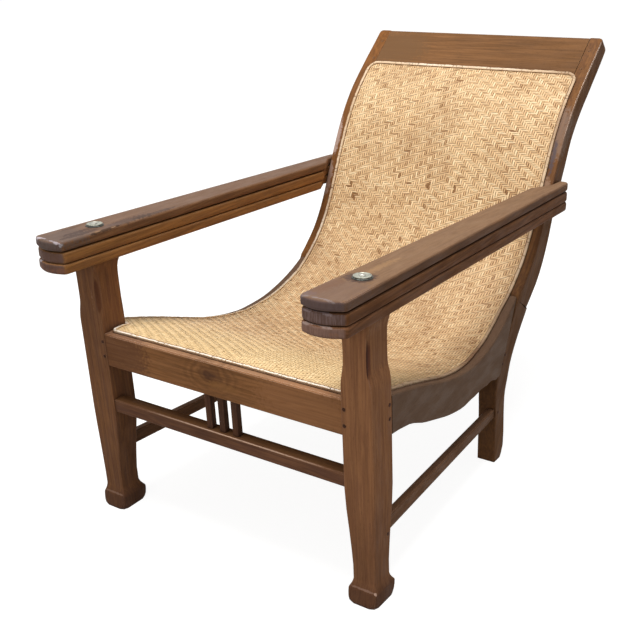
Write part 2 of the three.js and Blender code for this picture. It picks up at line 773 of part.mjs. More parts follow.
const frontRail = crossRail(
  vector(0, frontRailSetback, frontRailTop - frontRailDepth),
  vector(0, frontRailSetback + frontRailThickness, frontRailTop), frontTenon, frontPegs,
);
const frontStretcher = crossRail(
  vector(0, stretcherSetback, stretcherTop - stretcherDepth),
  vector(0, stretcherSetback + stretcherThickness, stretcherTop), stretcherTenon, [],
);
const rearRail = carve(rearRailBoard(halfBack - postWidth - fit, rearRailDepth, rearRailThickness), {
  add: [rearRailBoard(halfBack - postWidth / 2, rearRailDepth - tenonShoulder * 2, tenonThickness)],
});
const crestHoles = pegHoles(crestPegs);
const crestRail = carve(profileStrip(crestStartShare, 1, crestSteps, 0, crestThickness, crestHalf - fit), {
  add: [crestTenon(0, crestTenonLength)],
  remove: [...crestHoles, ...crestHoles.map((hole) => mirrored(hole))],
});

// Spindles stand between the front stretcher and the front rail
const spindleHeight = frontRailTop - frontRailDepth - stretcherTop - fit * 2;
const spindleCorner = vector(-spindleSize / 2, stretcherSetback + spindleSetback, 0);
const spindleRing = easedRing(spindleCorner, alongX, alongY, spindleSize, spindleSize, arris / 2);
const spindle = loft([0, spindleHeight].map((rise) => {
  return spindleRing.map((point) => point.clone().setZ(rise));
}));

// Arm boards, drawn in plan in the arm frame
const armInner = halfFrame - armInset;
const armRearInner = halfBack - armRearInset;
const armFrontOuter = halfFrame + armOutset;
const armTailOuter = halfBack + tongueWidth;

function boardOutline(nose, undersideDrop) {
  const front = -armOverhang + nose;
  const innerBow = armBow * 0.5;
  const tailShare = armReach / (armReach + armOverhang);
  const drop = armReach * Math.sin(armAngle) * tailShare;
  const postFront = postAtHeight(armHeight - drop - undersideDrop).front.x;
  const notchEnd = postFront - notchGap;
  const middle = (armInner + armFrontOuter) / 2;
  const tongueInner = halfBack + fit;
  const outline = new THREE.Shape();
  outline.moveTo(armRearInner, notchEnd - notchLength);
  outline.lineTo(armInner, front + innerBow + armCorner);
  outline.quadraticCurveTo(armInner, front + innerBow, armInner + armCorner, front + innerBow * 0.7);
  outline.quadraticCurveTo(middle, front - armBow * 0.6, armFrontOuter - armCorner, front + armBow * 0.8);
  outline.quadraticCurveTo(armFrontOuter, front + armBow, armFrontOuter, front + armBow + armCorner);
  outline.lineTo(armTailOuter, armReach - armTailCorner);
  outline.quadraticCurveTo(armTailOuter, armReach, armTailOuter - armTailCorner, armReach);
  outline.lineTo(tongueInner, armReach);
  outline.lineTo(tongueInner, notchEnd);
  return outline;
}

function armBoard(thickness, top, nose, holeRadius) {
  const outline = boardOutline(nose, top + thickness);
  const edge = Math.min(boardEdge, thickness / 3);
  const geometry = new THREE.ExtrudeGeometry(outline, {
    depth: thickness - edge * 2, bevelEnabled: true, bevelThickness: edge, bevelSize: edge,
    bevelOffset: -edge, bevelSegments: 3, curveSegments: 6, steps: 1,
  });
  geometry.translate(0, 0, -top - thickness + edge);
  return carve(geometry, { remove: [pivotHole(holeRadius, overrun - top, -top - thickness - overrun)] });
}

const restTop = topBoardThickness + restGap;
const baseTop = restTop + restThickness + fit;
const topBoard = armBoard(topBoardThickness, 0, 0, pinRadius + fit);
const restBoard = armBoard(restThickness, restTop, restNoseSetback, pinRadius + pinPlay);
const baseBoard = armBoard(baseThickness, baseTop, restNoseSetback / 2, pinRadius + fit);

// Pivot pin with a domed head, on a coin-like disc and a plain ring
const ringTop = ringThickness + fit;
const discTop = ringTop + fit + discThickness;
const headBase = discTop - discRelief + fit;
const pinProfile = [
  [0, headBase + pinHeadHeight], [pinHeadRadius * 0.55, headBase + pinHeadHeight * 0.85],
  [pinHeadRadius * 0.9, headBase + pinHeadHeight * 0.45], [pinHeadRadius, headBase], [pinRadius, headBase],
  [pinRadius, -pinBottom + pinRadius / 2], [pinRadius / 2, -pinBottom], [0, -pinBottom],
].map(([radius, rise]) => new THREE.Vector2(radius, rise)).reverse();
const discHole = pinRadius + fit;
const discFloor = discTop - discRelief;
const discProfile = [
  [discHole, ringTop + fit], [discRadius - discRim * 0.3, ringTop + fit],
  [discRadius, ringTop + fit + discRim * 0.3], [discRadius, discTop - discRim * 0.2],
  [discRadius - discRim * 0.3, discTop], [discRadius - discRim, discTop],
  [discRadius - discRim * 1.4, discFloor], [discHole, discFloor], [discHole, ringTop + fit],
].map(([radius, rise]) => new THREE.Vector2(radius, rise));
const ringProfile = [
  [discHole, fit], [ringRadius, fit], [ringRadius, fit + ringThickness * 0.6],
  [ringRadius - ringThickness * 0.5, ringTop], [discHole, ringTop], [discHole, fit],
].map(([radius, rise]) => new THREE.Vector2(radius, rise));

function turned(profile, sides) {
  const geometry = new THREE.LatheGeometry(profile, sides);
  geometry.rotateX(Math.PI / 2);
  return bare(geometry);
}

const pivotPin = turned(pinProfile, 20);
const pivotDisc = turned(discProfile, 32);
const pivotRing = turned(ringProfile, 32);

// Cane panel: one sheet that follows the side profile, notched round the front legs
const panelStartShare = shareAtReach(panelFront);
const panelEndShare = shareAtReach(backPoint([panelTopShare, 0]).x);
const panelSteps = 64;
const notchReach = legDepth + fit * 2;

function panelHalf(reach) {
  if (reach < notchReach) return legInner - panelLegGap;
  const share = clamp((reach - legDepth) / (railMeetReach - legDepth), 0, 1);
  const side = reach < railMeetReach ? railOuter(reach) : halfBack;
  return side - lerp(panelInset, panelBackInset, share);
}

// How much a rounded corner takes off the half width, at a distance from the edge that ends there
function cornerLoss(distance, radius) {
  if (distance >= radius) return 0;
  const rest = radius - Math.max(distance, 0);
  return radius - Math.sqrt(radius * radius - rest * rest);
}

function panelShares() {
  const shares = [];
  for (let step = 0; step <= panelSteps; step += 1) {
    shares.push(lerp(panelStartShare, panelEndShare, step / panelSteps));
  }
  for (const angle of [15, 30, 45, 60, 75]) {
    const slip = 1 - Math.cos(degToRad(90 - angle));
    shares.push(panelStartShare + (panelFrontCorner * (1 - slip)) / profileLength * 0.9);
    const rise = 1 - Math.sin(degToRad(angle));
    shares.push(panelEndShare - (panelCorner * rise) / profileLength);
  }
  const notch = shareAtReach(notchReach);
  const tiny = fit / 2 / profileLength;
  shares.push(notch - tiny, notch + tiny);
  shares.sort((a, b) => a - b);
  return shares.filter((share, place) => place === 0 || share - shares[place - 1] > tiny / 2);
}

function edgeHalf(share) {
  const reach = profileAt(share).point.x;
  const fromFront = (share - panelStartShare) * profileLength;
  const fromTop = (panelEndShare - share) * profileLength;
  return panelHalf(reach) - cornerLoss(fromFront, panelFrontCorner) - cornerLoss(fromTop, panelCorner);
}

function sheetPoint(share, x, lift) {
  const { point, normal } = profileAt(share);
  const place = point.clone().addScaledVector(normal, lift);
  return vector(x, place.x, place.y);
}

const panelRings = panelShares().map((share) => {
  const half = edgeHalf(share);
  return [
    sheetPoint(share, -half, panelRest), sheetPoint(share, -half, panelRest + panelThickness),
    sheetPoint(share, half, panelRest + panelThickness), sheetPoint(share, half, panelRest),
  ];
});
const canePanel = loft(panelRings);

// Edging: a half-round strip that follows the panel's edge all the way round
const beadLift = panelRest * 2 + panelThickness;
const beadShares = [[-0.5, 0], [-0.36, 0.72], [0, 1], [0.36, 0.72], [0.5, 0]];

function beadPath() {
  const startShare = panelStartShare + beadInset / profileLength;
  const endShare = panelEndShare - beadInset / profileLength;
  const cornerRadius = panelCorner - beadInset;
  const frontRadius = panelFrontCorner - beadInset;
  const side = [];
  const arcSteps = 5;
  for (let step = 0; step <= arcSteps; step += 1) {
    const angle = (Math.PI / 2) * (step / arcSteps);
    const share = startShare + (frontRadius * (1 - Math.cos(angle))) / profileLength;
    side.push([share, legInner - panelLegGap - beadInset - frontRadius * (1 - Math.sin(angle))]);
  }
  const notchShare = shareAtReach(notchReach) + beadInset / profileLength;
  const notchHalf = panelHalf(notchReach + beadInset) - beadInset;
  const frontHalf = legInner - panelLegGap - beadInset;
  const frontEnd = notchShare - frontRadius / profileLength;
  side.push([lerp(startShare, frontEnd, 0.6), frontHalf], [frontEnd, frontHalf]);
  side.push([notchShare - frontRadius * 0.3 / profileLength, frontHalf + frontRadius * 0.3]);
  side.push([notchShare, frontHalf + frontRadius]);
  side.push([notchShare, notchHalf - frontRadius]);
  side.push([notchShare + frontRadius * 0.3 / profileLength, notchHalf - frontRadius * 0.3]);
  const runStart = notchShare + frontRadius / profileLength;
  const runEnd = endShare - cornerRadius / profileLength;
  const runSteps = 48;
  for (let step = 0; step <= runSteps; step += 1) {
    const share = lerp(runStart, runEnd, step / runSteps);
    side.push([share, panelHalf(profileAt(share).point.x) - beadInset]);
  }
  const topHalf = panelHalf(profileAt(runEnd).point.x) - beadInset;
  for (let step = 1; step <= arcSteps; step += 1) {
    const angle = (Math.PI / 2) * (step / arcSteps);
    const slip = cornerRadius * (1 - Math.cos(angle));
    side.push([runEnd + (cornerRadius * Math.sin(angle)) / profileLength, topHalf - slip]);
  }
  const other = side.map(([share, x]) => [share, -x]).reverse();
  return [...side, ...other];
}

const beadLine = beadPath();
const beadRings = beadLine.map(([share, x], place) => {
  const before = beadLine[(place + beadLine.length - 1) % beadLine.length];
  const after = beadLine[(place + 1) % beadLine.length];
  const { normal } = profileAt(share);
  const up = vector(0, normal.x, normal.y);
  const along = sheetPoint(after[0], after[1], 0).sub(sheetPoint(before[0], before[1], 0)).normalize();
  const across = along.clone().cross(up).normalize();
  const base = sheetPoint(share, x, beadLift);
  return beadShares.map(([a, b]) => base.clone().addScaledVector(across, a * beadWidth)
    .addScaledVector(up, b * beadHeight));
});
const caneBead = loft(beadRings, true);

// Materials
const finishes = {
  teakFront: { color: 0x75543a, roughness: 0.52, metalness: 0 },
  teakSide: { color: 0x5c483a, roughness: 0.56, metalness: 0 },
  teakArm: { color: 0x86694f, roughness: 0.5, metalness: 0 },
  teakRest: { color: 0x54433a, roughness: 0.55, metalness: 0 },
  teakCrest: { color: 0x83603f, roughness: 0.48, metalness: 0 },
  pegWood: { color: 0x3c2a20, roughness: 0.7, metalness: 0 },
  cane: { color: 0xd8b886, roughness: 0.62, metalness: 0 },
  edging: { color: 0xecdab6, roughness: 0.55, metalness: 0 },
  oldSilver: { color: 0xb9bcae, roughness: 0.42, metalness: 0.85 },
  darkMetal: { color: 0x4c4d49, roughness: 0.5, metalness: 0.8 },
};

function piece(name, geometry, finish) {
  const mesh = new THREE.Mesh(geometry, new THREE.MeshStandardMaterial(finishes[finish]));
  mesh.name = name;
  return mesh;
}

function pair(parent, name, geometry, finish) {
  parent.add(piece(`${name}_left`, geometry, finish), piece(`${name}_right`, mirrored(geometry), finish));
}

const chair = new THREE.Group();
chair.name = 'planters_chair';

const frame = new THREE.Group();
pair(frame, 'front_leg', frontLeg, 'teakFront');
pair(frame, 'rear_post', rearPost, 'teakSide');
pair(frame, 'seat_rail', sideRailJoined, 'teakSide');
pair(frame, 'side_stretcher', sideStretcher, 'teakSide');
frame.add(piece('front_rail', frontRail, 'teakFront'));
frame.add(piece('rear_rail', rearRail, 'teakSide'));
frame.add(piece('crest_rail', crestRail, 'teakCrest'));
frame.add(piece('front_stretcher', frontStretcher, 'teakFront'));
const pegNames = [
  'front_rail_peg_upper', 'front_rail_peg_lower', 'seat_rail_peg_upper', 'seat_rail_peg_lower',
  'stretcher_peg_front', 'post_joint_peg_lower', 'post_joint_peg_upper', 'stretcher_peg_rear',
  'crest_peg_lower', 'crest_peg_upper',
];
[...legPegs, ...postPegs, ...crestPegs].forEach(([from, to], place) => {
  pair(frame, pegNames[place], rod(from, to, pegRadius), 'pegWood');
});

const spindleNames = ['spindle_right', 'spindle_middle', 'spindle_left'];
for (let place = 0; place < spindleCount; place += 1) {
  const mesh = piece(spindleNames[place] ?? `spindle_${place}`, spindle.clone(), 'teakFront');
  mesh.position.set((place - (spindleCount - 1) / 2) * spindleSpacing, 0, stretcherTop + fit);
  frame.add(mesh);
}

const seat = new THREE.Group();
seat.add(piece('cane_panel', canePanel, 'cane'));
seat.add(piece('cane_bead', caneBead, 'edging'));

const arms = new THREE.Group();
arms.position.set(0, 0, armHeight);
arms.rotation.x = -armAngle;
pair(arms, 'arm_top', topBoard, 'teakArm');
pair(arms, 'leg_rest', restBoard, 'teakRest');
pair(arms, 'arm_base', baseBoard, 'teakRest');

for (const [side, sign] of [['left', 1], ['right', -1]]) {
  const pivot = new THREE.Group();
  pivot.position.set(sign * pivotX, pivotReach, 0);
  pivot.add(piece(`pivot_pin_${side}`, pivotPin.clone(), 'oldSilver'));
  pivot.add(piece(`pivot_disc_${side}`, pivotDisc.clone(), 'oldSilver'));
  pivot.add(piece(`pivot_ring_${side}`, pivotRing.clone(), 'darkMetal'));
  arms.add(pivot);
}

chair.add(frame, seat, arms);
chair.updateMatrixWorld(true);
chair.position.y = -new THREE.Box3().setFromObject(chair, true).getCenter(new THREE.Vector3()).y;

export default chair;
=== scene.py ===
"""Planters chair: oiled teak frame, swing-out leg rests in the arms, and a seat and back woven in cane."""

import math

import bpy
import numpy as np
from mathutils import Matrix, Vector


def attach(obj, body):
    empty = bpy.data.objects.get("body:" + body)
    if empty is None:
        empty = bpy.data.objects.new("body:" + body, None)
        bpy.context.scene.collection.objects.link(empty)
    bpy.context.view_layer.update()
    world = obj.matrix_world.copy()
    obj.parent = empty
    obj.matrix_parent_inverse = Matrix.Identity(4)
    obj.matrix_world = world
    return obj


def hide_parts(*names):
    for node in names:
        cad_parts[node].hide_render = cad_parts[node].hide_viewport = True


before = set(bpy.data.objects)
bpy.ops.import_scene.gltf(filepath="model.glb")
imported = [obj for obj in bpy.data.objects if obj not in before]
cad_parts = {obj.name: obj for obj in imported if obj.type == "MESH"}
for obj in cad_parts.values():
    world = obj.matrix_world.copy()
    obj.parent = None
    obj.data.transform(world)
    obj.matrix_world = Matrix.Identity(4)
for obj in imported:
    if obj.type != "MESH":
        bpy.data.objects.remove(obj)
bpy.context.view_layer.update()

# Camera

IMAGE_WIDTH = 640
SENSOR_WIDTH = 36.0
FOCAL_PIXELS = 1020.18
SIGHT_REACH = 200
CENTRE_PIXEL = (310.168, 371.212)
CAMERA_PLACE = Vector((1.156952, -1.747920, 1.182608))
CAMERA_RIGHT = Vector((0.812463, 0.581072, -0.047539))
CAMERA_UP = Vector((-0.213535, 0.372456, 0.903150))
CAMERA_BACK = Vector((0.542501, -0.723624, 0.426686))


def set_camera():
    view = bpy.data.cameras.new("view")
    view.sensor_width = SENSOR_WIDTH
    view.lens = FOCAL_PIXELS * SENSOR_WIDTH / IMAGE_WIDTH
    view.shift_x = (IMAGE_WIDTH / 2 - CENTRE_PIXEL[0]) / IMAGE_WIDTH
    view.shift_y = (CENTRE_PIXEL[1] - IMAGE_WIDTH / 2) / IMAGE_WIDTH
    view.clip_end = SIGHT_REACH
    camera = bpy.data.objects.new("view", view)
    axes = Matrix((CAMERA_RIGHT, CAMERA_UP, CAMERA_BACK)).transposed().to_4x4()
    camera.matrix_world = Matrix.Translation(CAMERA_PLACE) @ axes
    bpy.context.scene.collection.objects.link(camera)
    bpy.context.scene.camera = camera


set_camera()
bpy.context.scene.view_settings.view_transform = "Standard"

# Reach is measured back from the front of the legs. The frame's Y is reach less this.
FRONT_SHIFT = 0.500853

# Node helpers


def tone(code, alpha=1.0):
    """A colour written as it looks on screen, as the linear colour the shader wants."""
    parts = [int(code[start:start + 2], 16) / 255 for start in (0, 2, 4)]
    linear = [part / 12.92 if part <= 0.04045 else ((part + 0.055) / 1.055) ** 2.4 for part in parts]
    return (*linear, alpha)


class Board:
    """A node tree with short ways to place a node and to join it."""

    def __init__(self, tree):
        self.tree = tree

    def feed(self, socket, value):
        if isinstance(value, bpy.types.NodeSocket):
            self.tree.links.new(value, socket)
        else:
            socket.default_value = value

    def add(self, kind, inputs=None, **settings):
        node = self.tree.nodes.new(kind)
        for name, value in settings.items():
            setattr(node, name, value)
        for socket, value in (inputs or {}).items():
            self.feed(node.inputs[socket], value)
        return node

    def maths(self, operation, first, second=0.0, clamp=False):
        node = self.add("ShaderNodeMath", {0: first, 1: second}, operation=operation, use_clamp=clamp)
        return node.outputs[0]

    def vector(self, operation, first, second=(0, 0, 0)):
        node = self.add("ShaderNodeVectorMath", {0: first, 1: second}, operation=operation)
        return node.outputs["Value"] if operation in ("LENGTH", "DOT_PRODUCT") else node.outputs["Vector"]

    def blend(self, factor, first, second, kind="MIX"):
        node = self.add("ShaderNodeMix", {0: factor, 6: first, 7: second}, data_type="RGBA", blend_type=kind)
        return node.outputs[2]

    def tint(self, colour, mask, share, code):
        """The colour, turned towards another tone by a share of a mask."""
        return self.blend(self.maths("MULTIPLY", mask, share), colour, tone(code))

    def band(self, value, low, high, to_low=0.0, to_high=1.0):
        node = self.add("ShaderNodeMapRange", {
            "Value": value, "From Min": low, "From Max": high, "To Min": to_low, "To Max": to_high,
        }, interpolation_type="SMOOTHSTEP")
        return node.outputs[0]

    def noise(self, place, scale, detail=2.0, roughness=0.5, distortion=0.0):
        node = self.add("ShaderNodeTexNoise", {
            "Vector": place, "Scale": scale, "Detail": detail, "Roughness": roughness,
            "Distortion": distortion,
        })
        return node.outputs[0]


def effect_group(name, inputs, outputs):
    """A shader group with named sockets. Returns its board, its inputs by name and its output node."""
    group = bpy.data.node_groups.new(name, "ShaderNodeTree")
    kinds = {"value": "NodeSocketFloat", "vector": "NodeSocketVector", "colour": "NodeSocketColor"}
    for label, (kind, default) in inputs.items():
        socket = group.interface.new_socket(name=label, in_out="INPUT", socket_type=kinds[kind])
        if default is not None:
            socket.default_value = default
    for label, kind in outputs.items():
        group.interface.new_socket(name=label, in_out="OUTPUT", socket_type=kinds[kind])
    board = Board(group)
    entry = board.add("NodeGroupInput")
    leave = board.add("NodeGroupOutput")
    return group, board, entry.outputs, leave.inputs


# Effects shared by the finishes


def make_plank_grain():
    """Growth rings, fibres and pores of a sawn board. The grain runs along the third coordinate."""
    group, board, given, result = effect_group("plank_grain", {
        "Coordinates": ("vector", None), "Ring Scale": ("value", 20.0), "Rings": ("value", 9.0),
    }, {"Figure": "value", "Fibres": "value", "Pores": "value", "Height": "value"})
    place = given["Coordinates"]
    slow = board.vector("MULTIPLY", place, (1.0, 1.0, 0.07))
    drift = board.noise(slow, given["Ring Scale"], detail=1.5, roughness=0.45)
    rings = board.maths("PINGPONG", board.maths("MULTIPLY", drift, given["Rings"]), 0.5)
    figure = board.band(rings, 0.0, 0.5)
    fine = board.vector("MULTIPLY", place, (1.0, 1.0, 0.03))
    fibres = board.noise(fine, scale=210.0, detail=5.0, roughness=0.72)
    dashes = board.vector("MULTIPLY", place, (1.0, 1.0, 0.06))
    specks = board.noise(dashes, scale=1150.0, detail=1.0)
    pores = board.band(specks, 0.62, 0.72)
    board.feed(result["Figure"], figure)
    board.feed(result["Fibres"], fibres)
    board.feed(result["Pores"], pores)
    ridge = board.maths("MULTIPLY", fibres, 0.6)
    board.feed(result["Height"], board.maths("SUBTRACT", ridge, board.maths("MULTIPLY", pores, 0.8)))
    return group


def make_arris_wear_and_highlight():
    """Rubbed edges, also painted as highlights along the arrises: where the surface turns within the radius,
    broken up by noise.
    """
    group, board, given, result = effect_group("arris_wear_and_highlight", {
        "Coordinates": ("vector", None), "Radius": ("value", 0.0018), "Reach": ("value", 0.08),
    }, {"Wear And Highlight": "value", "Edge": "value", "Rounded": "vector"})
    round_normal = board.add("ShaderNodeBevel", {"Radius": given["Radius"]}, samples=6).outputs[0]
    flat_normal = board.add("ShaderNodeNewGeometry").outputs["Normal"]
    turn = board.maths("SUBTRACT", 1.0, board.vector("DOT_PRODUCT", round_normal, flat_normal))
    edge = board.band(turn, 0.004, given["Reach"])
    cloud = board.noise(given["Coordinates"], scale=26.0, detail=4.0, roughness=0.65)
    patchy = board.band(cloud, 0.34, 0.66)
    board.feed(result["Wear And Highlight"], board.maths("MULTIPLY", edge, patchy, clamp=True))
    board.feed(result["Edge"], edge)
    board.feed(result["Rounded"], round_normal)
    return group


def make_joint_shade_and_dirt():
    """Darkening from ambient occlusion: grime and dark wax where boards meet, and painted shade in corners
    and under parts.
    """
    group, board, given, result = effect_group("joint_shade_and_dirt", {
        "Distance": ("value", 0.012),
    }, {"Shade And Dirt": "value"})
    hollow = board.add("ShaderNodeAmbientOcclusion", {"Distance": given["Distance"]}, samples=6)
    board.feed(result["Shade And Dirt"], board.band(hollow.outputs["AO"], 0.85, 0.25))
    return group


def make_old_polish():
    """Broad patches where years of oil have darkened or bleached the timber."""
    group, board, given, result = effect_group("old_polish", {
        "Coordinates": ("vector", None), "Scale": ("value", 5.0),
    }, {"Stain": "value", "Bleach": "value", "Sheen": "value"})
    stretched = board.vector("MULTIPLY", given["Coordinates"], (1.0, 1.0, 0.35))
    stain = board.noise(stretched, given["Scale"], detail=5.0, roughness=0.6, distortion=0.4)
    shifted = board.vector("ADD", stretched, (7.3, 2.1, 5.9))
    smaller = board.maths("MULTIPLY", given["Scale"], 1.7)
    bleach = board.noise(shifted, smaller, detail=4.0, roughness=0.6)
    sheen = board.noise(shifted, scale=48.0, detail=3.0, roughness=0.6)
    board.feed(result["Stain"], board.band(stain, 0.4, 0.7))
    board.feed(result["Bleach"], board.band(bleach, 0.52, 0.74))
    board.feed(result["Sheen"], sheen)
    return group


def make_end_grain():
    """Where a board is cut across, with its upright saw lines, and where it faces up."""
    group, board, given, result = effect_group("end_grain", {
        "Coordinates": ("vector", None), "Grain Axis": ("vector", (0, 0, 1)),
    }, {"Cut": "value", "Saw": "value", "Up": "value"})
    facing = board.add("ShaderNodeNewGeometry").outputs["Normal"]
    across = board.maths("ABSOLUTE", board.vector("DOT_PRODUCT", facing, given["Grain Axis"]))
    board.feed(result["Cut"], board.band(across, 0.55, 0.9))
    upright = board.vector("MULTIPLY", given["Coordinates"], (1.0, 0.3, 0.09))
    saw_lines = board.noise(upright, scale=420.0, detail=3.0, roughness=0.65)
    board.feed(result["Saw"], board.band(saw_lines, 0.4, 0.62))
    board.feed(result["Up"], board.band(board.vector("DOT_PRODUCT", facing, (0, 0, 1)), 0.55, 0.95))
    return group


def make_knot_swirl():
    """One knot in the face of a board: rings round a dark heart, fading into the straight grain."""
    group, board, given, result = effect_group("knot_swirl", {
        "Coordinates": ("vector", None), "Centre": ("vector", (0, 0, 0)), "Size": ("value", 0.02),
    }, {"Heart": "value", "Rings": "value", "Halo": "value"})
    apart = board.vector("SUBTRACT", given["Coordinates"], given["Centre"])
    lens = board.vector("MULTIPLY", apart, (0.62, 0.2, 1.0))
    wobble = board.add("ShaderNodeTexNoise", {
        "Vector": given["Coordinates"], "Scale": 34.0, "Detail": 3.0,
    }).outputs["Color"]
    centred = board.vector("SUBTRACT", wobble, (0.5, 0.5, 0.5))
    push = board.vector("MULTIPLY", centred, (0.022, 0.022, 0.022))
    away = board.vector("LENGTH", board.vector("ADD", lens, push))
    share = board.maths("DIVIDE", away, given["Size"])
    board.feed(result["Heart"], board.band(share, 0.75, 0.2))
    board.feed(result["Halo"], board.band(share, 2.2, 0.7))
    rings = board.maths("PINGPONG", board.maths("MULTIPLY", share, 2.4), 0.5)
    board.feed(result["Rings"], board.band(rings, 0.0, 0.5))
    return group


def make_mark_and_light_patch():
    """A long patch, full along its middle and ragged at its rim: used for a mark of hands or knocks, and for
    painted highlights and shade.
    """
    group, board, given, result = effect_group("mark_and_light_patch", {
        "Coordinates": ("vector", None), "Centre": ("vector", (0, 0, 0)), "Axis": ("vector", (0, 0, 1)),
        "Long": ("value", 0.02), "Wide": ("value", 0.008), "Ragged": ("value", 1.0),
    }, {"Mark": "value"})
    apart = board.vector("SUBTRACT", given["Coordinates"], given["Centre"])
    along = board.vector("DOT_PRODUCT", apart, given["Axis"])
    line = board.add("ShaderNodeVectorMath", {0: given["Axis"], "Scale": along}, operation="SCALE").outputs[0]
    aside = board.vector("LENGTH", board.vector("SUBTRACT", apart, line))
    along_share = board.maths("ABSOLUTE", board.maths("DIVIDE", along, given["Long"]))
    long_way = board.maths("POWER", along_share, 3.0)
    wide_way = board.maths("POWER", board.maths("DIVIDE", aside, given["Wide"]), 2.0)
    fray = board.noise(given["Coordinates"], scale=150.0, detail=4.0, roughness=0.7)
    ragged = board.maths("MULTIPLY", board.band(fray, 0.3, 0.7, -0.5, 0.5), given["Ragged"])
    reach = board.maths("ADD", board.maths("ADD", long_way, wide_way), ragged)
    board.feed(result["Mark"], board.band(reach, 1.15, 0.35))
    return group


def make_cane_skin():
    """Peeled cane: fine lines along each strand and small stains."""
    group, board, given, result = effect_group("cane_skin", {
        "Strand": ("vector", None), "Place": ("vector", None),
    }, {"Lines": "value", "Stain": "value", "Gloss": "value"})
    stretched = board.vector("MULTIPLY", given["Strand"], (60.0, 1500.0, 1.0))
    board.feed(result["Lines"], board.noise(stretched, scale=1.0, detail=2.0, roughness=0.6))
    patches = board.noise(given["Place"], scale=9.0, detail=5.0, roughness=0.62)
    board.feed(result["Stain"], board.band(patches, 0.42, 0.68))
    board.feed(result["Gloss"], board.noise(given["Place"], scale=60.0, detail=2.0))
    return group


def make_metal_tarnish():
    """Dull patches and pits of handled metal."""
    group, board, given, result = effect_group("metal_tarnish", {
        "Coordinates": ("vector", None), "Scale": ("value", 300.0),
    }, {"Tarnish": "value", "Pits": "value"})
    dull = board.noise(given["Coordinates"], given["Scale"], detail=5.0, roughness=0.65)
    board.feed(result["Tarnish"], board.band(dull, 0.36, 0.64))
    finer = board.maths("MULTIPLY", given["Scale"], 5.0)
    board.feed(result["Pits"], board.noise(given["Coordinates"], finer, detail=2.0, roughness=0.6))
    return group


PLANK_GRAIN = make_plank_grain()
ARRIS_WEAR_AND_HIGHLIGHT = make_arris_wear_and_highlight()
JOINT_SHADE_AND_DIRT = make_joint_shade_and_dirt()
OLD_POLISH = make_old_polish()
END_GRAIN = make_end_grain()
KNOT_SWIRL = make_knot_swirl()
MARK_AND_LIGHT_PATCH = make_mark_and_light_patch()
CANE_SKIN = make_cane_skin()
METAL_TARNISH = make_metal_tarnish()

# Finishes

ALONG_X = ((0, -math.pi / 2, 0), (1, 0, 0))
ALONG_Y = ((math.pi / 2, 0, 0), (0, 1, 0))
ALONG_Z = ((0, 0, 0), (0, 0, 1))
POST_LEAN = math.radians(31)
ALONG_POST = ((POST_LEAN, 0, 0), (0, math.sin(POST_LEAN), math.cos(POST_LEAN)))

OLD_CUT, PORE_TONE, SHADE_AND_DIRT_TONE, KNOT_HEART = "4d3528", "2c1c12", "1f1510", "43291f"
METAL_SHADE_AND_GRIME, CANE_DUST = "241f1a", "b9a692"
TEAK_ROUGHNESS, CANE_ROUGHNESS = (0.56, 0.74), (0.5, 0.7)
TEAK_SHINE, CANE_SHINE = 0.09, 0.25
TEAK_RELIEF, CANE_RELIEF, METAL_RELIEF = (0.22, 0.0008), (0.3, 0.0003), (0.25, 0.0002)
TEAK_JOINT, METAL_JOINT = 0.014, 0.002
POLISH_SCALE, TARNISH_SCALE = 5.0, 260.0
# Painted light on upward faces: its share, and how much of the fibre shows through it.
LIT_TOP_SHARE, LIT_TOP_FIBRES = 0.75, 0.8
KNOT_RINGS, KNOT_DEPTH = 0.5, 0.6
PORE_SHARE, CUT_SHARE, SAWN_LIGHT = 0.35, 0.9, 0.75
SHANK_DARKENING, FOOT_DARKENING = (0.30, 0.05, 0.0, 0.3), (0.05, 0.026, 0.0, 0.6)
SMOOTH_RIM, RAGGED_RIM = 0.1, 1.0
METAL_SHADE_AND_GRIME_SHARE = 0.7
CANE_LINES, CANE_STAIN, DUST_SHARE = 0.4, 0.25, 0.5
# Painted shade in the seat's dip: the heights where it starts and is full, and its share there.
DIP_SHADE = (0.50, 0.33, 0.0, 0.24)


def new_material(name):
    material = bpy.data.materials.new(name)
    material.use_nodes = True
    board = Board(material.node_tree)
    shader = material.node_tree.nodes["Principled BSDF"]
    return material, board, shader


def place_group(board, group, inputs):
    node = board.tree.nodes.new("ShaderNodeGroup")
    node.node_tree = group
    for name, value in inputs.items():
        board.feed(node.inputs[name], value)
    return node.outputs


def finish_skin(board, shader, colour, gloss, roughness, relief):
    """Feeds colour, roughness and relief to the shader.

    The relief gives the Bump node's strength and distance together, then its other inputs by name.
    """
    board.feed(shader.inputs["Base Color"], colour)
    board.feed(shader.inputs["Roughness"], board.band(gloss, 0.3, 0.7, *roughness))
    (strength, distance), inputs = relief
    bump = board.add("ShaderNodeBump", {**inputs, "Strength": strength, "Distance": distance})
    board.feed(shader.inputs["Normal"], bump.outputs[0])


def mark_and_light_patch(board, here, centre, run, long_way, wide_way, ragged=RAGGED_RIM):
    """The mask of one patch, for a mark and for painted light. Its centre is from the middle, a reach and a
    height, as in the lists below.
    """
    x, reach, rise = centre
    size = math.hypot(*run)
    heading = (0, run[0] / size, run[1] / size) if size else (1, 0, 0)
    return place_group(board, MARK_AND_LIGHT_PATCH, {
        "Coordinates": here, "Centre": (x, reach - FRONT_SHIFT, rise), "Axis": heading,
        "Long": long_way, "Wide": wide_way, "Ragged": ragged,
    })["Mark"]


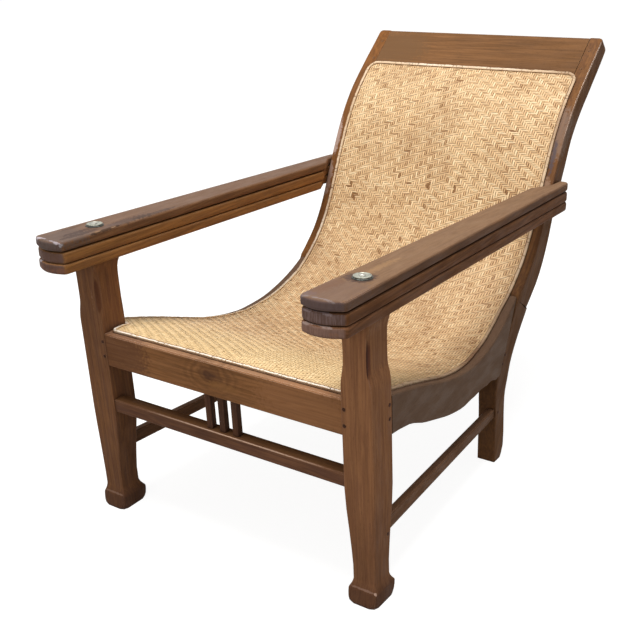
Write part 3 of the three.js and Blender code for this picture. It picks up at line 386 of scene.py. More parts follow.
def teak(name, grain, light, body, dark, worn_and_highlight, cut=OLD_CUT, up=None, knots=(), marks_and_light=(), wear=0.8,
         bleach=0.3, stain=0.4, shade_and_dirt=0.6, ring_scale=20.0, rings=9.0, contrast=0.6, offset=(0, 0, 0),
         foot=None, edge=0.0018, fibre=0.55):
    """Oiled teak: light and dark growth rings, fibres, pores, end grain, rubbed arrises also painted as
    highlights, painted light on upward faces where given, and grime with painted shade where parts meet.
    """
    material, board, shader = new_material(name)
    turn, axis = grain
    here = board.add("ShaderNodeTexCoord").outputs["Object"]
    turned = board.add("ShaderNodeMapping", {"Vector": here, "Rotation": turn, "Location": offset})
    along = turned.outputs[0]
    figure = place_group(board, PLANK_GRAIN, {
        "Coordinates": along, "Ring Scale": ring_scale, "Rings": rings,
    })
    polish = place_group(board, OLD_POLISH, {"Coordinates": along, "Scale": POLISH_SCALE})
    ends = place_group(board, END_GRAIN, {"Coordinates": here, "Grain Axis": axis})
    edges = place_group(board, ARRIS_WEAR_AND_HIGHLIGHT, {"Coordinates": here, "Radius": edge})
    occlusion = place_group(board, JOINT_SHADE_AND_DIRT, {"Distance": TEAK_JOINT})
    colour = board.tint(tone(body), figure["Figure"], contrast, light)
    fibre_share = board.band(figure["Fibres"], 0.62, 0.3, 0.0, fibre)
    colour = board.blend(fibre_share, colour, tone(dark))
    colour = board.tint(colour, polish["Stain"], stain, dark)
    colour = board.tint(colour, polish["Bleach"], bleach, worn_and_highlight)
    # Painted light: upward faces take their own tone, for the light that falls on them from above.
    if up:
        lit_top_share = board.maths("MULTIPLY", ends["Up"], LIT_TOP_SHARE)
        lit_top_fibres = board.maths("MULTIPLY", fibre_share, LIT_TOP_FIBRES)
        colour = board.blend(lit_top_share, colour, board.blend(lit_top_fibres, tone(up), colour))
    for centre, size in knots:
        knot = place_group(board, KNOT_SWIRL, {"Coordinates": here, "Centre": centre, "Size": size})
        swirl = board.maths("MULTIPLY", knot["Halo"], board.maths("MULTIPLY", knot["Rings"], KNOT_RINGS))
        colour = board.blend(swirl, colour, tone(dark))
        colour = board.tint(colour, knot["Heart"], KNOT_DEPTH, KNOT_HEART)
    colour = board.tint(colour, figure["Pores"], PORE_SHARE, PORE_TONE)
    saw_share = board.maths("MULTIPLY", ends["Saw"], board.band(polish["Stain"], 0.0, 1.0, 0.4, 1.0))
    sawn = board.blend(saw_share, tone(cut), board.blend(SAWN_LIGHT, tone(cut), tone(dark)))
    colour = board.blend(board.maths("MULTIPLY", ends["Cut"], CUT_SHARE), colour, sawn)
    if foot:
        height = board.add("ShaderNodeSeparateXYZ", {0: here}).outputs["Z"]
        # Darker towards the floor: the leg blends to the foot tone low down.
        for reach_of_darkening in (SHANK_DARKENING, FOOT_DARKENING):
            colour = board.blend(board.band(height, *reach_of_darkening), colour, tone(foot))
    # Rubbed arrises, also painted highlights along them.
    colour = board.tint(colour, edges["Wear And Highlight"], wear, worn_and_highlight)
    # Patches of use, and of painted highlight and shade.
    for kind, centre, run, long_way, wide_way, mark_tone, strength in marks_and_light:
        rim = SMOOTH_RIM if kind == "hollow" else RAGGED_RIM
        mark = mark_and_light_patch(board, here, centre, run, long_way, wide_way, rim)
        if kind == "edge":
            mark = board.maths("MULTIPLY", mark, edges["Edge"])
        colour = board.tint(colour, mark, strength, mark_tone)
    # Painted shade with the grime where parts meet: darker wherever the surface is hemmed in.
    colour = board.tint(colour, occlusion["Shade And Dirt"], shade_and_dirt, SHADE_AND_DIRT_TONE)
    relief = (TEAK_RELIEF, {"Height": figure["Height"], "Normal": edges["Rounded"]})
    finish_skin(board, shader, colour, polish["Sheen"], TEAK_ROUGHNESS, relief)
    shader.inputs["Specular IOR Level"].default_value = TEAK_SHINE
    return material


def metal(name, bright, dull, roughness, metallic):
    """Handled metal with dull patches, pits, and grime with painted shade in its corners."""
    material, board, shader = new_material(name)
    here = board.add("ShaderNodeTexCoord").outputs["Object"]
    wear = place_group(board, METAL_TARNISH, {"Coordinates": here, "Scale": TARNISH_SCALE})
    occlusion = place_group(board, JOINT_SHADE_AND_DIRT, {"Distance": METAL_JOINT})
    colour = board.blend(wear["Tarnish"], tone(bright), tone(dull))
    # Painted shade with grime: darker wherever the metal is hemmed in.
    colour = board.tint(colour, occlusion["Shade And Dirt"], METAL_SHADE_AND_GRIME_SHARE, METAL_SHADE_AND_GRIME)
    finish_skin(board, shader, colour, wear["Pits"], roughness, (METAL_RELIEF, {"Height": wear["Pits"]}))
    shader.inputs["Metallic"].default_value = metallic
    return material


def cane(name, cream, straw, brown, dust=(), front_top_light=None):
    """Cane strands. Each one carries its own tone and its own run of coordinates on the mesh."""
    material, board, shader = new_material(name)
    strand = board.add("ShaderNodeAttribute", attribute_name="strand").outputs["Vector"]
    shade = board.add("ShaderNodeAttribute", attribute_name="shade").outputs["Fac"]
    here = board.add("ShaderNodeTexCoord").outputs["Object"]
    skin = place_group(board, CANE_SKIN, {"Strand": strand, "Place": here})
    low = board.blend(board.band(shade, 0.0, 0.5), tone(brown), tone(straw))
    colour = board.blend(board.band(shade, 0.45, 1.0), low, tone(cream))
    colour = board.blend(board.band(skin["Lines"], 0.55, 0.3, 0.0, CANE_LINES), colour, tone(brown))
    colour = board.tint(colour, skin["Stain"], CANE_STAIN, brown)
    if front_top_light:
        upward = place_group(board, END_GRAIN, {"Coordinates": here})["Up"]
        parts = board.add("ShaderNodeSeparateXYZ", {0: here}).outputs
        front_top_light_tone, front_top_light_share, front_top_light_from, front_top_light_to = front_top_light
        # Painted light: upward faces towards the front are lightened.
        front_top_light_mask = board.maths("MULTIPLY", upward, board.band(parts["Y"], front_top_light_from, front_top_light_to))
        colour = board.tint(colour, front_top_light_mask, front_top_light_share, front_top_light_tone)
        # Painted shade: the cane turns brown lower down, in the dip of the seat.
        colour = board.blend(board.band(parts["Z"], *DIP_SHADE), colour, tone(brown))
    for centre, run, long_way, wide_way in dust:
        mark = mark_and_light_patch(board, here, centre, run, long_way, wide_way)
        colour = board.tint(colour, mark, DUST_SHARE, CANE_DUST)
    relief = (CANE_RELIEF, {"Height": skin["Lines"]})
    finish_skin(board, shader, colour, skin["Gloss"], CANE_ROUGHNESS, relief)
    shader.inputs["Specular IOR Level"].default_value = CANE_SHINE
    return material


# Marks and painted light, each at its place on the chair. A row gives its kind, its centre (from the middle,
# reach back and height), the way it runs (back and up, or across where both are 0), half its length, half its
# width, its tone and its strength. A hollow has a smooth rim, and an edge mark, a painted highlight, keeps to
# the arris. The rows of dust on the cane have no kind, tone or strength of their own.

LEG_SHADE_AND_HIGHLIGHTS = (
    # Painted light on the near leg: shade in the neck's hollows, a highlight along the arris below, and
    # highlights on the foot's ridge.
    ("hollow", (0.3425, 0.0025, 0.493), (0.03, 1), 0.038, 0.0088, "582c20", 0.9),
    ("edge", (0.345, 0.002, 0.395), (0, 1), 0.055, 0.006, "a67c5e", 0.7),
    ("hollow", (0.3374, 0.001, 0.494), (0.03, 1), 0.036, 0.0024, "351c15", 0.85),
    ("hollow", (0.2855, 0.002, 0.492), (0, 1), 0.036, 0.0040, "5c3826", 0.6),
    ("patch", (0.316, -0.004, 0.034), (0, 0), 0.031, 0.0026, "9a7866", 0.6),
    ("patch", (0.344, -0.003, 0.033), (0, 0), 0.004, 0.0030, "c6a490", 0.8),
    ("patch", (0.348, 0.03, 0.034), (1, 0), 0.032, 0.003, "7d5c4b", 0.5),
)
FAR_LEG_SHADE_AND_HIGHLIGHTS = (
    # Painted light on the far leg: shade in the neck's hollow, and highlights on the inner arris and the
    # foot's ridge.
    ("hollow", (-0.287, 0.003, 0.485), (0, 1), 0.038, 0.0060, "4f2c1c", 0.7),
    ("patch", (-0.300, -0.002, 0.480), (0, 1), 0.045, 0.0022, "a37c60", 0.55),
    ("patch", (-0.316, -0.004, 0.034), (0, 0), 0.031, 0.0026, "8c6c5a", 0.6),
)
POST_MARKS_AND_HIGHLIGHTS = (
    ("patch", (0.272, 0.880, 0.670), (0.6, 0.8), 0.070, 0.030, "8f7a6c", 0.5),
    ("patch", (0.279, 0.846, 0.628), (0.5, 0.87), 0.048, 0.0062, "564c50", 0.8),
    ("patch", (0.272, 0.850, 0.634), (0.5, 0.87), 0.030, 0.0022, "352b2c", 0.7),
    ("patch", (0.279, 0.826, 0.570), (0.3, 0.95), 0.020, 0.011, "a2826a", 0.7),
    ("patch", (0.279, 0.815, 0.535), (0.3, 0.95), 0.016, 0.011, "7a6664", 0.7),
    # Painted highlights, partly wear: the bright lines along the outer front arris of the post.
    ("edge", (0.293, 1.015, 0.806), (0.84, 0.53), 0.080, 0.013, "fff0e2", 1.0),
    ("edge", (0.293, 0.965, 0.765), (0.77, 0.63), 0.060, 0.012, "fff0e2", 1.0),
    ("edge", (0.293, 0.915, 0.722), (0.71, 0.71), 0.090, 0.012, "f3dac8", 1.0),
)
ARM_MARKS_AND_HIGHLIGHTS = (
    ("patch", (0.305, -0.045, 0.619), (1, 0), 0.070, 0.060, "6a554c", 0.5),
    ("patch", (0.276, -0.070, 0.619), (0, 0), 0.020, 0.012, "6b5e60", 0.5),
    ("patch", (0.303, 0.037, 0.618), (0, 0), 0.029, 0.027, "4d3c35", 0.85),
    # Painted highlights: the light line along the outer top arris, and the thin light rim at the front.
    ("edge", (0.345, -0.040, 0.617), (1, 0), 0.060, 0.012, "b08e78", 0.8),
    ("patch", (0.302, -0.0805, 0.6208), (0, 0), 0.036, 0.0036, "877a77", 0.7),
    ("patch", (0.290, -0.076, 0.6085), (0, 0), 0.026, 0.008, "3d2f2e", 0.6),
    ("patch", (0.300, 0.12, 0.618), (1, 0), 0.075, 0.010, "a5815a", 0.35),
    ("patch", (0.285, -0.03, 0.619), (1, 0), 0.050, 0.014, "6b4b39", 0.4),
)
FAR_ARM_MARKS_AND_HIGHLIGHTS = (
    ("patch", (-0.300, -0.045, 0.619), (1, 0), 0.055, 0.045, "60524b", 0.7),
    ("patch", (-0.299, -0.010, 0.619), (1, 0), 0.045, 0.007, "40322e", 0.6),
    ("patch", (-0.281, 0.110, 0.616), (1, 0), 0.060, 0.014, "463833", 0.6),
    ("patch", (-0.281, 0.055, 0.617), (1, 0), 0.030, 0.010, "5d4c46", 0.5),
    # Painted highlights on the front rim of the top board.
    ("patch", (-0.336, -0.0775, 0.6208), (0, 0), 0.028, 0.0038, "b5aaae", 0.9),
    ("patch", (-0.288, -0.0815, 0.6208), (0, 0), 0.020, 0.0034, "b0a5a9", 0.85),
    ("patch", (-0.285, -0.020, 0.619), (1, 0), 0.052, 0.010, "3f302b", 0.65),
    ("patch", (-0.332, 0.000, 0.619), (1, 0), 0.030, 0.006, "4a3a33", 0.5),
    ("patch", (-0.277, 0.175, 0.611), (1, 0), 0.070, 0.008, "3c2e29", 0.6),
    ("patch", (-0.270, 0.030, 0.616), (1, 0), 0.045, 0.0035, "38281f", 0.75),
    ("patch", (-0.2705, 0.012, 0.618), (1, 0), 0.009, 0.0016, "a98562", 0.6),
    ("patch", (-0.2695, 0.052, 0.616), (1, 0), 0.008, 0.0014, "b08c6c", 0.65),
    # Painted highlight at the front corner of the top board.
    ("patch", (-0.274, -0.075, 0.617), (1, 0), 0.008, 0.005, "9d9698", 0.9),
)
RAIL_MARKS_AND_LIGHT = (
    # Painted shade on the left end of the front rail.
    ("patch", (-0.25, 0.0, 0.375), (0, 0), 0.085, 0.060, "4e2f24", 0.5),
    ("patch", (0.020, 0.002, 0.366), (0, 0), 0.040, 0.009, "8c6038", 0.6),
    # Painted light on the right end of the front rail.
    ("patch", (0.200, 0.002, 0.372), (0, 0), 0.110, 0.050, "a3714d", 0.4),
    # Painted highlight: the thin pink line along the rail's top front arris.
    ("edge", (0, 0.003, 0.4085), (0, 0), 0.30, 0.008, "dcb8a0", 1.0),
)
CREST_MARKS = (
    ("patch", (-0.235, 1.030, 0.800), (0, 0), 0.110, 0.065, "6d4f34", 0.85),
    ("patch", (0.262, 1.035, 0.800), (0.75, 0.66), 0.050, 0.016, "99683a", 0.5),
)
BAR_HIGHLIGHT = (
    # Painted highlight: the thin bright line along the stretcher's top front arris.
    ("hollow", (0.03, 0.0035, 0.2623), (0, 0), 0.30, 0.0019, "e3c0a6", 0.8),
)
FAR_BASE_MARKS_AND_HIGHLIGHT = (
    # Painted highlight on the front rim of the base board.
    ("patch", (-0.343, -0.0795, 0.5785), (0, 0), 0.020, 0.0040, "bdb2b6", 0.9),
    ("patch", (-0.300, -0.080, 0.566), (0, 0), 0.040, 0.010, "8a5b42", 0.5),
)
BASE_MARKS_AND_HIGHLIGHT = (
    # Painted highlight on the front rim of the base board.
    ("patch", (0.300, -0.0835, 0.5785), (0, 0), 0.034, 0.0038, "aa958c", 0.7),
    ("patch", (0.300, -0.078, 0.566), (0, 0), 0.040, 0.009, "8c6249", 0.5),
)
REST_HIGHLIGHT = (
    # Painted highlight on the front rim of the leg rest.
    ("patch", (0.300, -0.0815, 0.6002), (0, 0), 0.034, 0.0038, "9a8786", 0.65),
)
FAR_POST_MARKS_AND_HIGHLIGHTS = (
    # Painted highlights, partly wear: the pale pinkish sheen along the far post.
    ("patch", (-0.290, 0.860, 0.635), (0.6, 0.8), 0.062, 0.011, "b69c90", 0.75),
    ("patch", (-0.290, 0.800, 0.530), (0.4, 0.9), 0.045, 0.011, "ab8f80", 0.65),
    ("patch", (-0.290, 0.975, 0.755), (0.75, 0.66), 0.060, 0.008, "a5866e", 0.4),
)
DUST_MARKS = (
    ((-0.262, 0.925, 0.715), (0.66, 0.75), 0.060, 0.014),
    ((0.045, 1.010, 0.775), (0.75, 0.66), 0.050, 0.016),
    ((-0.040, 0.970, 0.750), (0.7, 0.71), 0.045, 0.012),
    ((0.200, 0.900, 0.670), (0.6, 0.8), 0.040, 0.014),
)

LEG_TEAK = teak("leg_teak", ALONG_Z, "b07b51", "976746", "67432b", "a8826a", marks_and_light=LEG_SHADE_AND_HIGHLIGHTS, bleach=0.0,
                stain=0.25, foot="3f281f", ring_scale=60.0, rings=6.0, contrast=0.5)
# The far leg's teak is the near leg's made darker: painted shade for the far side.
FAR_LEG_SHADED_TEAK = teak("far_leg_shaded_teak", ALONG_Z, "98683f", "80563a", "553828", "a07a60", marks_and_light=FAR_LEG_SHADE_AND_HIGHLIGHTS,
                    bleach=0.0, stain=0.3, foot="3f281e", ring_scale=60.0, rings=6.0,
                    offset=(0.31, 0.17, 0.4))
POST_TEAK = teak("post_teak", ALONG_POST, "865b34", "704b2e", "4a3222", "a08270", marks_and_light=POST_MARKS_AND_HIGHLIGHTS,
                 edge=0.0013, bleach=0.1, shade_and_dirt=0.35, ring_scale=45.0, rings=6.0)
FAR_POST_TEAK = teak("far_post_teak", ALONG_POST, "9a6434", "80522b", "553720", "a58068", bleach=0.05,
                     marks_and_light=FAR_POST_MARKS_AND_HIGHLIGHTS, shade_and_dirt=0.35, ring_scale=45.0, rings=6.0, offset=(0.4, 0.2, 0.1))
RAIL_TEAK = teak("rail_teak", ALONG_X, "a37046", "895c37", "583a23", "b08c76", up="a07c60", bleach=0.0,
                 knots=(((-0.012, 0.002 - FRONT_SHIFT, 0.384), 0.027),), marks_and_light=RAIL_MARKS_AND_LIGHT, shade_and_dirt=0.35,
                 edge=0.0011, ring_scale=50.0, rings=6.0)
BAR_TEAK = teak("bar_teak", ALONG_X, "865b3e", "6c4835", "432c20", "b08c76", up="6c4929", bleach=0.0,
                marks_and_light=BAR_HIGHLIGHT, ring_scale=60.0, rings=6.0, edge=0.0012)
SPINDLE_TEAK = teak("spindle_teak", ALONG_Z, "6b462e", "533524", "33211a", "8a6450", bleach=0.0)
CREST_TEAK = teak("crest_teak", ALONG_X, "8d623d", "775232", "503722", "a07a56", cut="5c4028",
                  ring_scale=42.0, rings=6.0, shade_and_dirt=0.2, contrast=0.5, marks_and_light=CREST_MARKS)
SIDE_TEAK = teak("side_teak", ALONG_Y, "7d604a", "705643", "554134", "8f705a", bleach=0.0, stain=0.12,
                 contrast=0.25, fibre=0.25, ring_scale=40.0)
LOW_TEAK = teak("low_teak", ALONG_Y, "8f6443", "765238", "4e3727", "b08c74", up="7c5a42", bleach=0.0,
                contrast=0.4, wear=0.95)
ARM_TEAK = teak("arm_teak", ALONG_Y, "825c3f", "6f4e38", "4a372c", "9a765b", cut="54464a", up="84684f",
                marks_and_light=ARM_MARKS_AND_HIGHLIGHTS, bleach=0.12, edge=0.003, ring_scale=36.0, rings=7.0, contrast=0.75)
REST_TEAK = teak("rest_teak", ALONG_Y, "8a5a36", "6f472a", "432a1a", "a87f60", cut="7a645f",
                 marks_and_light=REST_HIGHLIGHT, bleach=0.08, edge=0.0026, ring_scale=36.0, rings=7.0, wear=0.95,
                 contrast=0.75, offset=(0.3, 0.2, 0.7))
BASE_TEAK = teak("base_teak", ALONG_Y, "8f6040", "744c30", "4a2f1f", "a87f60", cut="886a5d",
                 marks_and_light=BASE_MARKS_AND_HIGHLIGHT, bleach=0.08, edge=0.0026, ring_scale=36.0, rings=7.0, wear=0.95,
                 contrast=0.75, offset=(0.6, 0.1, 0.2))
FAR_ARM_TEAK = teak("far_arm_teak", ALONG_Y, "875f3e", "704d34", "442e1e", "9a7c66", cut="5e4b48",
                    up="725d50", marks_and_light=FAR_ARM_MARKS_AND_HIGHLIGHTS, bleach=0.1, edge=0.003, ring_scale=40.0, rings=6.0,
                    offset=(0.12, 0.5, 0.2))
FAR_REST_TEAK = teak("far_rest_teak", ALONG_Y, "a9753f", "8d6038", "5a3c25", "b58c68", cut="624c47",
                     marks_and_light=FAR_BASE_MARKS_AND_HIGHLIGHT, bleach=0.05, edge=0.003, ring_scale=40.0, rings=6.0, wear=0.9,
                     offset=(0.4, 0.1, 0.5))
PEG_TEAK = teak("peg_teak", ALONG_X, "553626", "472c1f", "331f15", "5a4030", cut="54352a", wear=0.1,
                bleach=0.0, shade_and_dirt=0.25)
CREST_PEG = teak("crest_peg", ALONG_X, "8a6040", "765235", "523824", "a07a56", cut="6f4d33", wear=0.2,
                 shade_and_dirt=0.2)
OLD_SILVER = metal("old_silver", "b3b3a4", "7d7f74", (0.34, 0.52), 0.5)
DARK_IRON = metal("dark_iron", "5d605a", "33332f", (0.38, 0.6), 0.6)
BRIGHT_RIVET = metal("bright_rivet", "d6d3c8", "8f8c82", (0.2, 0.38), 0.8)

# Painted light on the upward faces of the cane towards the front: its tone, its share, and the places in Y
# where it starts and is full.
CANE_STRAND = cane("cane_strand", "f7deb3", "e0b989", "8f6741", dust=DUST_MARKS,
                   front_top_light=("f9dda3", 0.45, -0.16, -0.42))
# Painted shade: the dark sheet that shows between the strands, lightened at the front with painted light.
CANE_SHADE_SHEET = cane("cane_shade_sheet", "5c3c20", "4e3219", "3b2410", front_top_light=("a4753f", 0.7, -0.16, -0.42))
CANE_EDGE = cane("cane_edge", "f3e2ca", "dcbf9c", "805c40", front_top_light=("fff4e4", 0.9, -0.455, -0.470))
CANE_CORD = cane("cane_cord", "e6c79a", "a98560", "6d5038")
CANE_TIE = cane("cane_tie", "dcc199", "b08a60", "50382a")

FINISHES = {
    "front_leg": LEG_TEAK, "front_leg_right": FAR_LEG_SHADED_TEAK, "arm_top_right": FAR_ARM_TEAK,
    "leg_rest_right": FAR_REST_TEAK, "arm_base_right": FAR_REST_TEAK, "rear_post": POST_TEAK,
    "rear_post_right": FAR_POST_TEAK, "seat_rail": SIDE_TEAK, "side_stretcher": LOW_TEAK,
    "front_rail": RAIL_TEAK, "rear_rail": RAIL_TEAK, "crest_rail": CREST_TEAK, "front_stretcher": BAR_TEAK,
    "spindle": SPINDLE_TEAK, "arm_top": ARM_TEAK, "arm_base": BASE_TEAK, "leg_rest": REST_TEAK,
    "pivot_pin": BRIGHT_RIVET, "pivot_disc": OLD_SILVER, "pivot_ring": DARK_IRON,
}


def finish_nodes():
    for name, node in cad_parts.items():
        if "_peg" in name:
            material = CREST_PEG if name.startswith("crest") else PEG_TEAK
        else:
            match = max((key for key in FINISHES if name.startswith(key)), key=len, default=None)
            material = FINISHES.get(match)
        if material:
            for slot in node.material_slots:
                slot.material = material


finish_nodes()

# Side line of the seat and back

DIP_REACH, DIP_HEIGHT, SEAT_HEIGHT = 0.455, 0.300, 0.410
BACK_REACH, BACK_HEIGHT = 1.062, 0.849
STEPS_BETWEEN = 60
SEAT_SHARES = (
    (0.02, 1.0), (0.07, 1.0), (0.128, 0.977), (0.226, 0.864), (0.378, 0.668), (0.53, 0.445),
    (0.681, 0.227), (0.833, 0.073), (0.945, 0.008), (1, 0),
)
BACK_SHARES = (
    (0.107, 0.011), (0.189, 0.0346), (0.2586, 0.0638), (0.318, 0.0965), (0.364, 0.129), (0.407, 0.1676),
    (0.4646, 0.2295), (0.5206, 0.3188), (0.5684, 0.4226), (0.621, 0.539), (0.6886, 0.6703),
    (0.7677, 0.7814), (0.873, 0.885), (0.94, 0.945), (1, 1),
)


def side_line():
    """A smooth curve through the points of the seat and back, and the distance along it."""
    points = [
        (DIP_REACH * reach, DIP_HEIGHT + (SEAT_HEIGHT - DIP_HEIGHT) * rise) for reach, rise in SEAT_SHARES
    ]
    points += [
        (DIP_REACH + (BACK_REACH - DIP_REACH) * reach, DIP_HEIGHT + (BACK_HEIGHT - DIP_HEIGHT) * rise)
        for reach, rise in BACK_SHARES
    ]
    points = np.array(points)
    padded = np.vstack([points[:1], points, points[-1:], points[-1:]])
    line = []
    for span in range(len(points) - 1):
        before, here, there, after = padded[span:span + 4]
        start, end = (there - before) / 2, (after - here) / 2
        for share in np.linspace(0, 1, STEPS_BETWEEN, endpoint=False):
            line.append((2 * here - 2 * there + start + end) * share ** 3
                        + (3 * there - 3 * here - 2 * start - end) * share ** 2 + start * share + here)
    line.append(points[-1])
    line = np.array(line)
    run = np.concatenate([[0], np.cumsum(np.hypot(*np.diff(line, axis=0).T))])
    return line, run


LINE, RUN = side_line()
SLOPE = np.gradient(LINE, RUN, axis=0)
SLOPE /= np.linalg.norm(SLOPE, axis=1)[:, None]


def reach_at(run):
    return np.interp(run, RUN, LINE[:, 0])


def run_at(reach):
    return np.interp(reach, LINE[:, 0], RUN)


def sheet_points(run, across, lift):
    """Places on the seat and back: distance along it, distance from its middle, and height above it."""
    run, across, lift = np.broadcast_arrays(run, across, lift)
    reach, height = reach_at(run), np.interp(run, RUN, LINE[:, 1])
    along_y, along_z = np.interp(run, RUN, SLOPE[:, 0]), np.interp(run, RUN, SLOPE[:, 1])
    return np.stack([across, reach - along_z * lift - FRONT_SHIFT, height + along_y * lift], axis=-1)


# Outline of the cane panel

PANEL_REST, PANEL_THICKNESS = 0.0006, 0.0032
HALF_FRONT, HALF_BACK, POST_STEP = 0.345, 0.293, 0.0003
LEG_DEPTH, LEG_INNER = 0.062, 0.282
RAIL_MEET = DIP_REACH + (BACK_REACH - DIP_REACH) * 0.272
PANEL_START = run_at(0.014)
PANEL_END = run_at(DIP_REACH + (BACK_REACH - DIP_REACH) * 0.873)
SIDE_MARGIN, MARGIN_GAIN = 0.013, 0.006
PANEL_CORNER, PANEL_FRONT_CORNER = 0.026, 0.012
LEG_GAP = 0.0035
NOTCH_RAMP = 0.022
NOTCH_REACH = LEG_DEPTH + 0.0006


def panel_half(reach):
    """Half the panel's width: it follows the tapering rails and steps in beside the front legs."""
    share = np.clip((reach - LEG_DEPTH) / (RAIL_MEET - LEG_DEPTH), 0, 1)
    rails = HALF_FRONT + (HALF_BACK + POST_STEP - HALF_FRONT) * share
    outer = np.where(reach < RAIL_MEET, rails, HALF_BACK)
    half = outer - (SIDE_MARGIN + MARGIN_GAIN * share)
    inner = LEG_INNER - LEG_GAP
    slope = np.clip((reach - NOTCH_REACH) / NOTCH_RAMP, 0, 1)
    return inner + (half - inner) * np.sqrt(slope)


def corner_loss(distance, radius):
    """How much a round corner takes off the half width, at a distance from the panel's end."""
    rest = np.clip(radius - distance, 0, radius)
    return radius - np.sqrt(radius ** 2 - rest ** 2)


def edge_half(run):
    return (panel_half(reach_at(run)) - corner_loss(run - PANEL_START, PANEL_FRONT_CORNER)
            - corner_loss(PANEL_END - run, PANEL_CORNER))


# Making pieces


def piece_from(name, points, faces, material, values=None, smooth=True):
    """A mesh piece of one material. The values are extra layers on its points, by name."""
    mesh = bpy.data.meshes.new(name)
    faces = np.asarray(faces)
    mesh.vertices.add(len(points))
    mesh.vertices.foreach_set("co", np.asarray(points, dtype=np.float32).ravel())
    mesh.loops.add(faces.size)
    mesh.loops.foreach_set("vertex_index", faces.ravel().astype(np.int32))
    mesh.polygons.add(len(faces))
    mesh.polygons.foreach_set("loop_start", np.arange(0, faces.size, faces.shape[1], dtype=np.int32))
    mesh.polygons.foreach_set("use_smooth", np.full(len(faces), smooth))
    mesh.update(calc_edges=True)
    for label, (kind, data) in (values or {}).items():
        layer = mesh.attributes.new(label, kind, "POINT")
        layer.data.foreach_set("vector" if kind == "FLOAT_VECTOR" else "value",
                               np.asarray(data, dtype=np.float32).ravel())
    mesh.materials.append(material)
    mesh.validate()
    piece = bpy.data.objects.new(name, mesh)
    bpy.context.scene.collection.objects.link(piece)
    return piece


def grid_faces(count, rows, columns, turned=False):
    """Quads of many small grids of points, all of one size."""
    corner = np.arange(rows * columns).reshape(rows, columns)
    corners = [corner[:-1, :-1], corner[:-1, 1:], corner[1:, 1:], corner[1:, :-1]]
    one = np.stack(corners, axis=-1).reshape(-1, 4)
    if turned:
        one = one[:, ::-1]
    return (one[None] + (np.arange(count) * rows * columns)[:, None, None]).reshape(-1, 4)


# Woven cane

WARP_PITCH = 0.0056
WEFT_PITCH = 0.00375
FLOAT_OVER = 3
TWILL = 2 * FLOAT_OVER
DIAMOND_RUN = 0.9145
DIAMOND_ACROSS = 0.029
EDGE_MARGIN = 0.0035
MID_LIFT = PANEL_REST + PANEL_THICKNESS / 2
CROWN = 0.0010
WARP_TUCK, WEFT_TUCK = 0.32, 0.30
WARP_COVER, WEFT_COVER = 0.425, 0.41
FACE_LIFT, EDGE_DROP, END_DROP, END_BEND = 0.00012, 0.00034, 0.98, 3.2
WIDTH_SPREAD, CROWN_SPREAD, YAW_SPREAD = (0.93, 1.03), (0.82, 1.06), 0.025
WARP_SPREAD, WEFT_SPREAD, FLOAT_SPREAD = 0.07, 0.035, 0.14
MEAN_SHADE, WEFT_PAINTED_LIGHT, WEAVE_LIGHT = 0.55, 0.05, 0.04
DARK_SHARE, DARK_SHADE, BROKEN_SHADE, BROKEN_CROWN = 0.012, 0.4, -0.9, 0.35
SIDE_SHADOW, END_SHADOW, SHADOW_MIDDLE = 0.50, 0.28, 0.22
HALF_WEAVE = 0.335
ALONG_STEPS = np.array([-1.0, -0.72, 0.0, 0.72, 1.0])
ACROSS_STEPS = np.array([-1.0, 0.0, 1.0])
# The sheet of painted shade: its rows, columns, margin and tone.
SHADE_SHEET_ROWS, SHADE_SHEET_COLUMNS, SHADE_SHEET_MARGIN, SHADE_SHEET_TONE = 181, 13, 0.001, 0.4
WEAVE_SEED, UNDER_SEED, TIE_SEED = 11, 23, 41
# Broken strands: distance from the middle, distance along the panel, and radius.
BROKEN = (
    (-0.005, 0.914, 0.006), (0.060, 0.914, 0.007), (-0.202, 0.868, 0.007), (-0.222, 0.892, 0.006),
    (0.190, 0.92, 0.006), (0.17, 1.06, 0.005),
)


def float_places(side):
    """Numbers of the warp and weft strands, and where the warp lies on top: a twill about one point."""
    half_count = int((HALF_WEAVE + DIAMOND_ACROSS) / WARP_PITCH)
    warps = np.arange(-half_count, half_count + 1)
    first = int(math.floor((PANEL_START - DIAMOND_RUN) / WEFT_PITCH))
    last = int(math.ceil((PANEL_END - DIAMOND_RUN) / WEFT_PITCH))
    wefts = np.arange(first, last + 1)
    column, row = np.meshgrid(warps, wefts, indexing="ij")
    phase = (np.abs(column) + np.abs(row)) % TWILL
    warp_up = phase < FLOAT_OVER if side > 0 else phase >= FLOAT_OVER
    return warps, wefts, warp_up


def runs_of(mask):
    """Start and end of every unbroken run of marked cells along the last axis."""
    padded = np.pad(mask.astype(int), ((0, 0), (1, 1)))
    change = np.diff(padded, axis=1)
    line, start = np.nonzero(change == 1)
    _, end = np.nonzero(change == -1)
    return line, start, end


def strand_shades(generator, count, spread):
    """One shade for each strand: its own, and one that drifts from strand to strand."""
    rough = generator.normal(0, 1, count)
    slow = np.convolve(generator.normal(0, 1, count + 8), np.ones(9) / 3, mode="valid")
    return MEAN_SHADE + spread * rough + spread * 0.35 * slow


